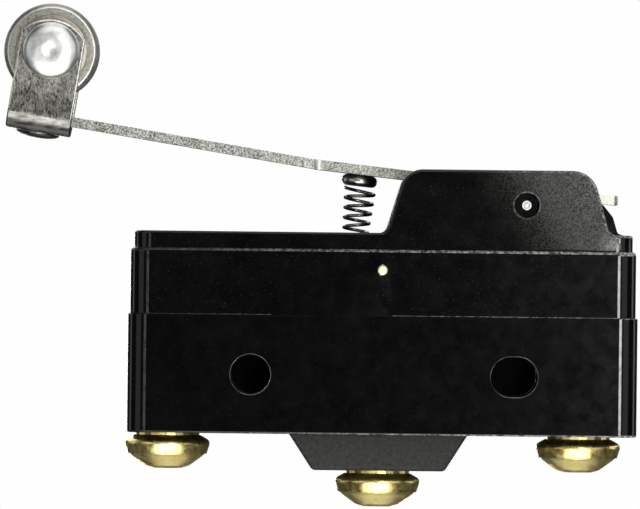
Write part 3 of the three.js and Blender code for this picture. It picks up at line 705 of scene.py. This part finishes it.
def pin_bore(side):
    """Bore of a cover pin, from outside the housing to inside its tongue."""
    start = -THICK - PAST if side < 0 else MID_Y + TONGUE["inner"] - PAST
    end = MID_Y - TONGUE["inner"] + PAST if side < 0 else PAST
    return turned_across(cylinder(COVER_PIN["r"] + GAP, start, end), COVER_PIN, 40)


def centred_block(half_x, half_y, low, high, x=0):
    return block(x - half_x, x + half_x, MID_Y - half_y, MID_Y + half_y, low, high)


def centred_prism(corners, depth, steps):
    """Outline in x, z given that depth, half of it on each side of the middle plane."""
    return across(outline(corners, steps), MID_Y - depth / 2, MID_Y + depth / 2)


def terminal_bores(terminal):
    """Bore for a terminal's insert, and above it the slot that its strip rises through."""
    top = terminal["insert_top"]
    bore = cylinder(INSERT_BORE_R, terminal["face"] - PAST, top + GAP)
    strip_x = terminal["x"] + terminal["riser"]
    strip = centred_block(STRIP_SLOT["half_x"], STRIP_SLOT["half_y"], top - 0.5, FLOOR_Z + 0.5, strip_x)
    return turned(bore, terminal["x"], MID_Y, 48), strip


def finished_moulding(piece, node):
    soft_shaded(cleaned(piece))
    fitted(piece, MOULDING, "housing", "moulding", node)
    # painted highlights on the rounded edges and down the start of the end fillets
    marked(piece, EDGE_HIGHLIGHT_MOULDING, edge_highlight_faces)
    return marked(piece, FILLET_HIGHLIGHT_MOULDING, fillet_start)


def base_moulding():
    levels = quarter(BASE_LOW, BASE_EDGE, True) + quarter(SEAM_Z, SEAM_EDGE, False, 2)
    piece = make("base_moulding", stacked(BASE_HALF, THICK / 2, CORNER_R, levels))
    join(piece, as_tool(bevelled(make("boss", centred_prism(BOSS_OUTLINE, BOSS_DEPTH, 6)), BOSS_EDGE, 4)))
    cut(piece, centred_block(CAVITY_HALF_X, CAVITY_HALF_Y, FLOOR_Z, SEAM_Z + PAST))
    for side in (-1, 1):
        near, far = sorted((MID_Y + side * TONGUE["inner"], MID_Y + side * TONGUE["outer"]))
        join(piece, block(-TONGUE["half_x"], TONGUE["half_x"], near, far, FLOOR_Z - 0.5, TONGUE["top"]))
    cut(piece, hole_tool(-HOLE_X, 0), hole_tool(HOLE_X, SLOT_STRAIGHT), pin_bore(-1), pin_bore(1))
    for terminal in TERMINALS:
        cut(piece, *terminal_bores(terminal))
    return marked(finished_moulding(piece, "base"), RIM_HIGHLIGHT_MOULDING, hole_rim)


def seam_pad(low):
    """Slightly raised pad on each side of the cover, down to its lower edge, with ramped ends."""
    inner = THICK / 2 - COVER_INSET
    outer = inner + PAD["proud"]
    high = LEDGE_Z - LEDGE_EDGE - 0.25
    rings = []
    for y, side in ((-outer, 1), (-inner, -1), (inner, -1), (outer, 1)):
        x0, x1 = PAD["from"] + side * PAD["ramp"], PAD["to"] - side * PAD["ramp"]
        top = high - (1 + side) * PAD["ramp"]
        rings.append([(x, MID_Y + y, z) for x, z in ((x0, low), (x1, low), (x1, top), (x0, top))])
    return skin(rings)


def spring_hole():
    """Hole in the cover's roof for the coil spring, countersunk at the top."""
    mouth = SPRING_HOLE_R + 0.25
    profile = [
        (0, ROOF_Z - PAST), (SPRING_HOLE_R, ROOF_Z - PAST), (SPRING_HOLE_R, TOP_Z - 0.2),
        (mouth, TOP_Z + 0.05), (mouth, TOP_Z + PAST), (0, TOP_Z + PAST),
    ]
    return turned(profile, SPRING["low_x"], MID_Y, 64)


def pivot_recess(side):
    """Blind recess round the pivot pin's end, with a small rounded lip."""
    face = MID_Y + side * (THICK / 2 - CAP_INSET)
    r = PIVOT["recess_r"]
    lip = 0.14
    floor = face - side * PIVOT["recess_depth"]
    profile = [
        (0, face + side * PAST), (r + lip, face + side * PAST), (r + lip, face),
        (r + 0.05, face - side * 0.05), (r, face - side * lip), (r, floor), (0, floor),
    ]
    return turned_across(profile, PIVOT, 64)


def cover_moulding():
    half = THICK / 2
    low = SEAM_Z + GAP
    levels = quarter(low, SEAM_EDGE, True, 2) + quarter(LEDGE_Z, LEDGE_EDGE, False)
    piece = make("cover_moulding", stacked(COVER_HALF, half - COVER_INSET, CORNER_R, levels))
    levels = [(0, LEDGE_Z - 1)] + quarter(TOP_Z, CAP_EDGE, False)
    join(piece, stacked(CAP_HALF, half - CAP_INSET, CORNER_R - 0.2, levels))
    join(piece, seam_pad(low))
    cheeks = bevelled(make("cheeks", centred_prism(CHEEK_OUTLINE, THICK - 2 * CAP_INSET, 12)), CHEEK_EDGE, 5)
    first, last = CHEEK_OUTLINE[0][0], CHEEK_OUTLINE[-1][0]
    cheeks_top = max(z for x, z, radius in CHEEK_OUTLINE)
    near, far = MID_Y - SLOT_HALF_Y, MID_Y + SLOT_HALF_Y
    cut(cheeks, block(first - PAST, last + PAST, near, far, TOP_Z - 0.5, cheeks_top + PAST))
    join(piece, as_tool(cheeks))
    join(piece, centred_prism(STOP_OUTLINE, 2 * SLOT_HALF_Y + 0.2, 6))
    cut(
        piece,
        centred_block(CAVITY_HALF_X, COVER_CAVITY_HALF_Y, SEAM_Z - PAST, ROOF_Z),
        spring_hole(),
        pin_bore(-1),
        pin_bore(1),
        turned_across(cylinder(PIVOT["r"] + GAP, -THICK, 0), PIVOT, 32),
        pivot_recess(-1),
        pivot_recess(1),
    )
    return finished_moulding(piece, "cover")


def cover_pin(side, label):
    face = MID_Y + side * (THICK / 2 - COVER_INSET)
    r = COVER_PIN["r"]
    end = face - side * COVER_PIN["length"]
    profile = [
        (0, face), (r * 0.6, face - side * 0.005), (r * 0.86, face - side * 0.04), (r, face - side * 0.14),
        (r, end), (0, end),
    ]
    pin = turned_across(profile, COVER_PIN, 40)
    fit_turned("cover_pin_" + label, pin, 50, METAL["pale_brass"], "housing", "brass")


def pivot_pin():
    """Pin with a shallow dimple and a small chamfer at each end."""
    half = THICK / 2 - CAP_INSET - PIVOT["recess_depth"] + 0.35
    end = MID_Y - half
    r = PIVOT["r"]
    profile = [(0, end + 0.05), (r * 0.45, end + 0.05), (r * 0.55, end), (r * 0.8, end), (r, end + 0.12)]
    profile += [(radius, 2 * MID_Y - y) for radius, y in reversed(profile)]
    pin = turned_across(profile, PIVOT, 40)
    fit_turned("pivot_pin", pin, 40, METAL["pin"], "housing", "steel")


base_moulding()
cover_moulding()
for side, label in ((-1, "front"), (1, "rear")):
    cover_pin(side, label)
pivot_pin()


# ---- lever ----
def lever_z(x):
    return BEND[1] - (x - BEND[0]) * math.tan(TAIL_TILT if x > BEND[0] else FORK_TILT)


def on_lever(bm):
    """Places a turned profile under the lever at the spring button, square to the lever."""
    drop = (LEVER_T / 2 + GAP) / math.cos(TAIL_TILT)
    place = Matrix.Translation((BUTTON["x"], MID_Y, lever_z(BUTTON["x"]) - drop))
    bm.transform(place @ Matrix.Rotation(TAIL_TILT, 4, "Y"))
    return bm


def on_fork(bm):
    """Places what is built upright about the roller's axis, tilted with the lever."""
    bm.transform(Matrix.Translation((ROLLER["x"], 0, ROLLER["z"])) @ Matrix.Rotation(FORK_TILT, 4, "Y"))
    return bm


LEVER_LOW = -LEVER_DROP - LEVER_T / 2
SEAT = LEVER_LOW - GAP
FORK_LOW = SEAT - FORK["t"]


def lever_side():
    """Side view of the lever: two straight stretches that meet in a soft bend."""
    rise_arm = LEVER_T / 2 / math.cos(FORK_TILT)
    rise_tail = LEVER_T / 2 / math.cos(TAIL_TILT)
    arm_z, tail_z = lever_z(ARM["end"]), lever_z(TAIL["end"])
    bend_x, bend_z = BEND
    return [
        (ARM["end"], arm_z - rise_arm, 0.12), (bend_x, bend_z - LEVER_T / 2, 6.0),
        (TAIL["end"], tail_z - rise_tail, 0.12), (TAIL["end"], tail_z + rise_tail, 0.12),
        (bend_x, bend_z + LEVER_T / 2, 6.0), (ARM["end"], arm_z + rise_arm, 0.12),
    ]


def lever_plan():
    """View of the lever from above, about its own middle: narrow arm, wide part, narrow tail."""
    arm, wide, tail = ARM["half"], HINGE["half"], TAIL["half"]
    near = [
        (ARM["end"], -arm, 0.8), (HINGE["from"], -arm, 0.2), (HINGE["from"], -wide, 0.45),
        (HINGE["to"], -wide, 1.0), (HINGE["to"], -tail, 0.35), (TAIL["end"], -tail, 0.5),
    ]
    return near + [(x, -y, radius) for x, y, radius in reversed(near)]


def ear_outline():
    """Ear that reaches from the lever's wide part down round the pivot pin."""
    top = lever_z(PIVOT["x"])
    reach, foot = EAR["half_x"], EAR["r"]
    side_z, low = PIVOT["z"] - 0.2, PIVOT["z"] - EAR["r"]
    shape = [(-reach, top, 0), (-reach, side_z, 0.6), (-foot, low, 1.0)]
    shape += [(-u, z, radius) for u, z, radius in reversed(shape)]
    return outline([(PIVOT["x"] + u, z, radius) for u, z, radius in shape])


def lever_strip():
    half = HINGE["half"]
    piece = make("lever_strip", centred_prism(lever_side(), 2 * half + 2, 5))
    plan = [(p[0], p[1] + MID_Y) for p in outline(lever_plan(), 10)]
    combined(piece, "INTERSECT", upward(plan, 10, 30))
    for side in (-1, 1):
        near, far = sorted((MID_Y + side * half, MID_Y + side * (half - EAR["t"])))
        join(piece, across(ear_outline(), near, far))
    cut(piece, turned_across(cylinder(EAR["hole_r"], -THICK, 0), PIVOT, 32))
    cut(piece, on_lever(turned(cylinder(BUTTON["shank"] + GAP, -3, 3), 0, 0, 32)))
    rivet = cylinder(FORK_RIVET["r"] + GAP, FORK_LOW - 3, LEVER_LOW + 3)
    cut(piece, on_fork(turned(rivet, FORK["off"], MID_Y, 40)))
    soft_shaded(bevelled(cleaned(piece), 0.11, 3, 45))
    fitted(piece, LEVER_STEEL, "lever", "steel", "lever")
    # painted shade: dark steel on the bevels along the lever's long edges
    marked(piece, METAL["lever_edge_shade"], lambda n, c: 0.3 < abs(n.z) < 0.94 and abs(n.y) > 0.3)
    # painted highlight: pale steel on the shoulder's rounded corner, where the arm widens
    start, end = HINGE["from"] - 1.3, HINGE["from"] + 0.4
    painted_shoulder = METAL["lever_shoulder_highlight"]
    return marked(piece, painted_shoulder, lambda n, c: start < c.x < end and n.x < -0.15 and abs(n.z) < 0.3)


def fork_face():
    """Front view of the fork: straight sides and an arched top, about the roller's axis."""
    low = FORK_LOW - PAST
    rise = FORK["arc_top"] - FORK["side_top"]
    radius = (FORK["half"] ** 2 + rise ** 2) / (2 * rise)
    sweep = math.asin(FORK["half"] / radius)
    middle, centre = FORK["off"], FORK["arc_top"] - radius
    face = [(middle - FORK["half"], low), (middle + FORK["half"], low)]
    steps = 36
    for k in range(steps + 1):
        a = sweep - 2 * sweep * k / steps
        face.append((middle + radius * math.sin(a), centre + radius * math.cos(a)))
    return face


def fork_channel():
    """The fork's U section carried along its strip, longer and taller than the finished fork."""
    top = 6
    inner = FORK["gap"] / 2
    outer = inner + FORK["t"]
    shape = [(-outer, top, 0), (-outer, FORK_LOW, FORK["bend"])]
    shape += [(-v, z, radius) for v, z, radius in reversed(shape)]
    hollow = [(inner, top, 0), (inner, SEAT, FORK["inner_bend"])]
    hollow += [(-v, z, radius) for v, z, radius in reversed(hollow)]
    section = outline([(MID_Y + v, z, radius) for v, z, radius in shape + hollow], 10)
    reach = FORK["half"] + PAST
    return skin([[(x, p[0], p[1]) for p in section] for x in (FORK["off"] - reach, FORK["off"] + reach)])


def fork_strip():
    piece = make("fork_upright", fork_channel())
    outer = FORK["gap"] / 2 + FORK["t"] + PAST
    combined(piece, "INTERSECT", across(fork_face(), MID_Y - outer, MID_Y + outer))
    cut(piece, turned_across(cylinder(AXLE["r"] + GAP, -THICK, 0), {"x": 0, "z": 0}, 48))
    rivet = cylinder(FORK_RIVET["r"] + GAP, FORK_LOW - PAST, SEAT + PAST)
    cut(piece, turned(rivet, FORK["off"], MID_Y, 40))
    bevelled(cleaned(piece), 0.16, 3, 45)
    piece = soft_shaded(make("fork_strip", on_fork(as_tool(piece))))
    fitted(piece, FORK_STEEL, "lever", "steel", "roller_fork")
    arms_low = ROLLER["z"] - 5.0
    # painted highlight: pale steel on the rounded edges of the arms
    marked(piece, METAL["painted_shine"], lambda n, c: rounding(n) and c.z > arms_low)
    return marked(piece, METAL["fork_bend"], lambda n, c: rounding(n) and c.z <= arms_low)


def fork_rivet():
    """Rivet with a low domed head under the fork and a smaller cap on the lever."""
    low = FORK_LOW - GAP
    high = -LEVER_DROP + LEVER_T / 2 + GAP
    head_r, head_h, head_edge = FORK_RIVET["head_r"], FORK_RIVET["head_h"], 0.08
    cap_r, cap_h, cap_edge = FORK_RIVET["cap_r"], FORK_RIVET["cap_h"], 0.1
    profile = [(0, low - head_h)]
    for a in quarter_turn(8, 1):
        profile.append((head_r * math.sin(a), low - head_edge - (head_h - head_edge) * math.cos(a)))
    profile += [(head_r, low), (FORK_RIVET["r"], low), (FORK_RIVET["r"], high), (cap_r, high)]
    for a in quarter_turn(8):
        profile.append((cap_r * math.cos(a), high + cap_edge + (cap_h - cap_edge) * math.sin(a)))
    rivet = on_fork(turned(profile, FORK["off"], MID_Y, 48))
    fit_turned("fork_rivet", rivet, 50, FORK_STEEL, "lever", "steel")


lever_strip()
fork_strip()
fork_rivet()


# ---- roller ----
def turned_loop(corners, steps):
    """Closed profile (radius, y) with rounded corners, from corners whose y counts from the middle plane."""
    return [(p[0], MID_Y + p[1]) for p in outline(corners, steps)]


def roller_axle():
    """Axle riveted over at both ends, with a shallow dimple in the front head."""
    front = MID_Y - FORK["gap"] / 2 - FORK["t"] - GAP
    rear = MID_Y + FORK["gap"] / 2 + FORK["t"] + GAP
    face = front - AXLE["head_h"]
    dimple_r = AXLE["dimple_r"]
    head_edge, tail_edge = 0.14, 0.15
    profile = [(0, face + 0.1), (0.28, face + 0.09), (0.5, face + 0.05), (0.75, face + 0.01)]
    profile.append((dimple_r, face))
    for a in quarter_turn(12, 1):
        r = dimple_r + (AXLE["head_r"] - dimple_r) * math.sin(a)
        profile.append((r, front - head_edge - (AXLE["head_h"] - head_edge) * math.cos(a) ** 0.8))
    profile += [(AXLE["head_r"], front), (AXLE["r"], front), (AXLE["r"], rear), (AXLE["tail_r"], rear)]
    for a in quarter_turn(8):
        y = rear + tail_edge + (AXLE["tail_h"] - tail_edge) * math.sin(a)
        profile.append((AXLE["tail_r"] * math.cos(a), y))
    axle = turned_across(profile, ROLLER, 72)
    fit_turned("roller_axle", axle, 50, METAL["bright"], "lever", "bright_steel")


def roller():
    half = ROLLER["width"] / 2
    chamfer = ROLLER["chamfer"]
    r = ROLLER["r"]
    side = [(ROLLER["bore"], half, 0.1), (r - chamfer, half, 0.3), (r, half - chamfer, 0.2)]
    loop = turned_loop(side + [(u, -y, radius) for u, y, radius in reversed(side)], 5)
    wheel = turned_across(loop, ROLLER, 96, True)
    piece = fit_turned("roller", wheel, 40, METAL["roller"], "roller", "steel")
    marked(piece, METAL["roller_edge"], lambda n, c: abs(n.y) < 0.76)
    # painted highlight: a thin bright ring where each face rounds into its chamfer
    marked(piece, METAL["bright"], lambda n, c: 0.76 <= abs(n.y) < 0.995)


def roller_bush():
    """Plain bush, a little longer than the roller is wide."""
    half = ROLLER["width"] / 2 + 0.12
    corners = [(BUSH["bore"], -half), (BUSH["r"], -half), (BUSH["r"], half), (BUSH["bore"], half)]
    loop = turned_loop([(r, y, 0.05) for r, y in corners], 3)
    bush = turned_across(loop, ROLLER, 64, True)
    fit_turned("roller_bush", bush, 50, METAL["brass"], "roller", "brass")


def roller_washer(side, label):
    near, far = side * (ROLLER["width"] / 2 + 0.17), side * (FORK["gap"] / 2 - GAP)
    bore = AXLE["r"] + GAP
    corners = [(bore, near), (ROLLER_WASHER_R, near), (ROLLER_WASHER_R, far), (bore, far)]
    loop = turned_loop([(r, y, 0.05) for r, y in corners], 3)
    washer = turned_across(loop, ROLLER, 72, True)
    # painted shade: the washers are a little darker than the roller
    fit_turned("roller_washer_" + label, washer, 50, METAL["washer"], "lever", "steel")


roller_axle()
roller()
roller_bush()
for side, label in ((-1, "front"), (1, "rear")):
    roller_washer(side, label)


# ---- spring and its button ----
def spring_button():
    """Rounded button under the lever, with a shank riveted through it."""
    r, edge, shank = BUTTON["r"], BUTTON["edge"], BUTTON["shank"]
    profile = [(0, -BUTTON["h"])]
    for a in quarter_turn(8):
        profile.append((r - edge + edge * math.sin(a), -BUTTON["h"] + edge - edge * math.cos(a)))
    for a in quarter_turn(8):
        profile.append((r - edge + edge * math.cos(a), -edge + edge * math.sin(a)))
    top = LEVER_T + GAP
    profile += [(shank, 0), (shank, LEVER_T), (shank * 0.8, top), (0, top)]
    button = on_lever(turned(profile, 0, 0, 56))
    fit_turned("spring_button", button, 50, METAL["button"], "lever", "dark_steel")


def mixed_ends(name, t):
    """A spring measure at t, from its low value at 0 to its top value at 1."""
    low, top = SPRING["low_" + name], SPRING["top_" + name]
    return low + (top - low) * t


def coil_point(t):
    """Middle of the wire at t; the axis leans over towards the top, and the turns tilt with the lever."""
    angle = 2 * math.pi * SPRING["turns"] * t
    r = mixed_ends("r", t)
    x = mixed_ends("x", max(0, 1.3 * t - 0.3))
    z = mixed_ends("z", t) - r * math.cos(angle) * math.tan(TAIL_TILT) * t
    return Vector((x + r * math.cos(angle), MID_Y + r * math.sin(angle), z))


def coil_spring():
    """Wire wound on a widening helix, a little thinner at its ends."""
    steps = round(SPRING["turns"] * 40)
    rings = []
    for k in range(steps + 1):
        t = k / steps
        centre = coil_point(t)
        ahead = (coil_point(min(t + 1e-3, 1)) - coil_point(max(t - 1e-3, 0))).normalized()
        side = ahead.cross(Vector((0, 0, 1))).normalized()
        up = side.cross(ahead)
        r = SPRING["wire"] * (0.72 if k in (0, steps) else 0.92)
        rings.append(circle(r, 12, lambda u, v: centre + u * side + v * up))
    piece = make("coil_spring_wire", skin(rings))
    soft_shaded(piece, 50)
    piece.data.materials.append(METAL["spring"])
    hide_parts("coil_spring")
    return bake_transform(piece)


spring_button()
coil_spring()


# ---- terminal screws ----
def cup_washer(terminal):
    """Dished washer: a flat round the screw, a short cone and a skirt that draws in at its rim."""
    top = terminal["face"] - GAP - COLLAR_H - GAP
    r, inside = WASHER["r"], WASHER["r"] - WASHER["wall"]
    cone, rim = top - WASHER["cone"], top - WASHER["rim"]
    profile = outline([
        (WASHER["bore"], top, 0), (WASHER["top_r"], top, 0.25), (r, cone, 0.5), (r, cone - 0.4, 0.5),
        (r - WASHER["taper"], rim, 0.1), (inside, rim, 0.02),
        (inside, top - 0.95, 0.1), (WASHER["top_r"] - 0.4, top - 0.5, 0.1), (WASHER["bore"], top - 0.5, 0),
    ], 5)
    washer = turned(profile, terminal["x"], MID_Y, 72, True)
    fit_turned(terminal["name"] + "_cup_washer", washer, 40, METAL["brass"], "housing", "brass")


def terminal_screw(terminal):
    """Slotted screw whose head bulges below the washer's rim; its shank is plain."""
    x = terminal["x"]
    top = terminal["face"] - GAP - COLLAR_H - GAP
    head_top, shoulder, low = top - SCREW["head_top"], top - SCREW["shoulder"], top - SCREW["low"]
    flat, head, shank = SCREW["flat_r"], SCREW["head_r"], SCREW["r"]
    drop = shoulder - low
    end = top + SCREW["length"]
    profile = softened([
        (0, low, 0), (flat, low, 0.25), (flat + 0.75, low + drop * 0.16, 1.2),
        (flat + 1.35, low + drop * 0.48, 2.0), (head - 0.25, shoulder - 0.22, 0.5), (head, shoulder, 0.1),
        (head, head_top, 0), (shank, head_top, 0), (shank, end - SCREW["tip"], 0),
        (shank - SCREW["tip"], end, 0), (0, end, 0),
    ], 6)
    name = terminal["name"] + "_screw"
    piece = make(name + "_turned", turned(profile, x, MID_Y, 72))
    reach, half = head + PAST, SCREW_SLOT["width"] / 2
    slot = block(-reach, reach, -half, half, -SCREW_SLOT["depth"], SCREW_SLOT["depth"])
    turn = Matrix.Rotation(math.radians(terminal["turn"]), 4, "Z")
    slot.transform(Matrix.Translation((x, MID_Y, low)) @ turn)
    cut(piece, slot)
    bevelled(cleaned(piece), 0.07, 2, 40)
    fitted(soft_shaded(piece, 40), METAL["screw_brass"], "housing", "brass", name)


for terminal in TERMINALS:
    cup_washer(terminal)
    terminal_screw(terminal)


# ---- CAD nodes that keep their own shape ----
KEPT = [
    (PALE_PLASTIC, ["plunger_guide", "plunger"]),
    (METAL["copper"], ["snap_blade", "snap_tongue"]),
    (METAL["silver"], ["moving_contact", "no_contact", "nc_contact"]),
    (METAL["brass"], ["common_terminal", "no_terminal", "nc_terminal", "blade_clamp", "blade_rivet"]),
]
for surface, nodes in KEPT:
    for node in nodes:
        for material_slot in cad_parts[node].material_slots:
            material_slot.material = surface


# ---- stage ----
CAMERA_PLACE = (-6.12, -917.45, 11.6)
CAMERA_LENS = 526.5
CAMERA_ROLL = math.radians(0.65)
FLOOR = {"z": -60.0, "r": 1500.0}
LIT_POINT = (-4, MID_Y, 10)


def unlit_surface(name):
    """Black that reflects next to nothing."""
    s = Surface(name)
    s.shader.inputs["Base Color"].default_value = (0, 0, 0, 1)
    s.shader.inputs["Roughness"].default_value = 1.0
    return s


def floor():
    """Pale floor with an even light of its own; it lights nothing, and from below it is clear."""
    bm = bmesh.new()
    ring = circle(FLOOR["r"], 96, lambda u, v: (u, v + MID_Y, FLOOR["z"]))
    bm.faces.new([bm.verts.new(p) for p in ring])
    piece = make("floor", bm)
    s = unlit_surface("pale_floor")
    s.shader.inputs["Emission Color"].default_value = (1, 1, 0.99, 1)
    s.shader.inputs["Emission Strength"].default_value = 0.9
    s.shader.inputs["Specular IOR Level"].default_value = 0
    clear = s.node("ShaderNodeBsdfTransparent")
    blend = s.node("ShaderNodeMixShader")
    s.link(s.node("ShaderNodeNewGeometry").outputs["Backfacing"], blend.inputs[0])
    s.link(s.shader.outputs[0], blend.inputs[1])
    s.link(clear.outputs[0], blend.inputs[2])
    s.link(blend.outputs[0], s.output.inputs[0])
    piece.data.materials.append(s.material)
    piece.visible_glossy = False
    piece.visible_diffuse = False
    piece.visible_shadow = False


def dark_card(name, x, straight):
    """Black card halfway along a mounting hole: painted shade for the unlit depth of a real switch's bore.
    """
    bm = bmesh.new()
    bm.faces.new([bm.verts.new(p) for p in slot_ring(x, straight, HOLE_R - 0.01, MID_Y, 48)])
    piece = make(name, bm)
    piece.data.materials.append(unlit_surface("black_card").material)


def soft_light(name, azimuth, elevation, distance, size, power):
    """Rectangular light aimed at the switch; azimuth 0 is in front, 90 is at +X. Metres and watts."""
    a, e = math.radians(azimuth), math.radians(elevation)
    away = Vector((math.sin(a) * math.cos(e), -math.cos(a) * math.cos(e), math.sin(e)))
    data = bpy.data.lights.new(name, "AREA")
    data.shape = "RECTANGLE"
    data.size, data.size_y = size
    data.energy = power
    lamp = in_scene(name, data)
    lamp.location = Vector(LIT_POINT) * MM + away * distance
    lamp.rotation_euler = (-away).to_track_quat("-Z", "Y").to_euler()


def studio_world():
    """White as the camera sees it, and a faint cool glow as everything else does."""
    world = bpy.data.worlds.new("studio")
    bpy.context.scene.world = world
    world.use_nodes = True
    tree = world.node_tree
    tree.nodes.clear()
    path = tree.nodes.new("ShaderNodeLightPath")
    choose = tree.nodes.new("ShaderNodeMixShader")
    output = tree.nodes.new("ShaderNodeOutputWorld")
    tree.links.new(path.outputs["Is Camera Ray"], choose.inputs[0])
    tree.links.new(choose.outputs[0], output.inputs[0])
    for socket, colour, strength in ((1, (0.95, 0.97, 1, 1), 0.06), (2, (1, 1, 1, 1), 0.995)):
        background = tree.nodes.new("ShaderNodeBackground")
        background.inputs["Color"].default_value = colour
        background.inputs["Strength"].default_value = strength
        tree.links.new(background.outputs[0], choose.inputs[socket])


def place_camera():
    """Level camera a long way in front of the switch, behind a long lens."""
    data = bpy.data.cameras.new("camera")
    data.sensor_width = 36
    data.lens = CAMERA_LENS
    data.clip_start = 0.05
    data.clip_end = 50
    camera = in_scene("camera", data)
    camera.matrix_world = (
        Matrix.Translation(Vector(CAMERA_PLACE) * MM)
        @ Matrix.Rotation(math.radians(90), 4, "X")
        @ Matrix.Rotation(CAMERA_ROLL, 4, "Z")
    )
    bpy.context.scene.camera = camera


floor()
dark_card("hole_card", -HOLE_X, 0)
dark_card("slot_card", HOLE_X, SLOT_STRAIGHT)

LIGHTS = {
    # azimuth, elevation, distance, width and height, power
    "key_right": (13, 6, 0.45, (0.07, 0.26), 0.46),
    "side_right": (46, 12, 0.45, (0.28, 0.30), 0.30),
    "low_front": (0, -36, 0.45, (0.50, 0.40), 2.5),
    "top_front": (8, 46, 0.45, (0.45, 0.25), 0.64),
    "side_left": (-50, 10, 0.45, (0.25, 0.30), 0.21),
    "fill_left": (-14, 4, 0.45, (0.06, 0.26), 0.03),
    "under": (180, -70, 0.45, (0.30, 0.30), 0.22),
    "end_right": (108, 8, 0.45, (0.10, 0.26), 0.16),
    "end_left": (-108, 8, 0.45, (0.10, 0.26), 0.10),
    "side_rear_right": (140, 25, 0.60, (0.40, 0.30), 0.6),
    "side_rear_left": (-140, 25, 0.60, (0.40, 0.30), 0.6),
    "rear_key": (192, 7, 0.45, (0.07, 0.26), 0.40),
    "rear_top": (180, 48, 0.60, (0.60, 0.35), 0.9),
    "overhead": (90, 84, 0.60, (0.60, 0.50), 1.1),
}
for name, settings in LIGHTS.items():
    soft_light(name, *settings)
studio_world()
bpy.context.scene.view_settings.view_transform = "Standard"
place_camera()
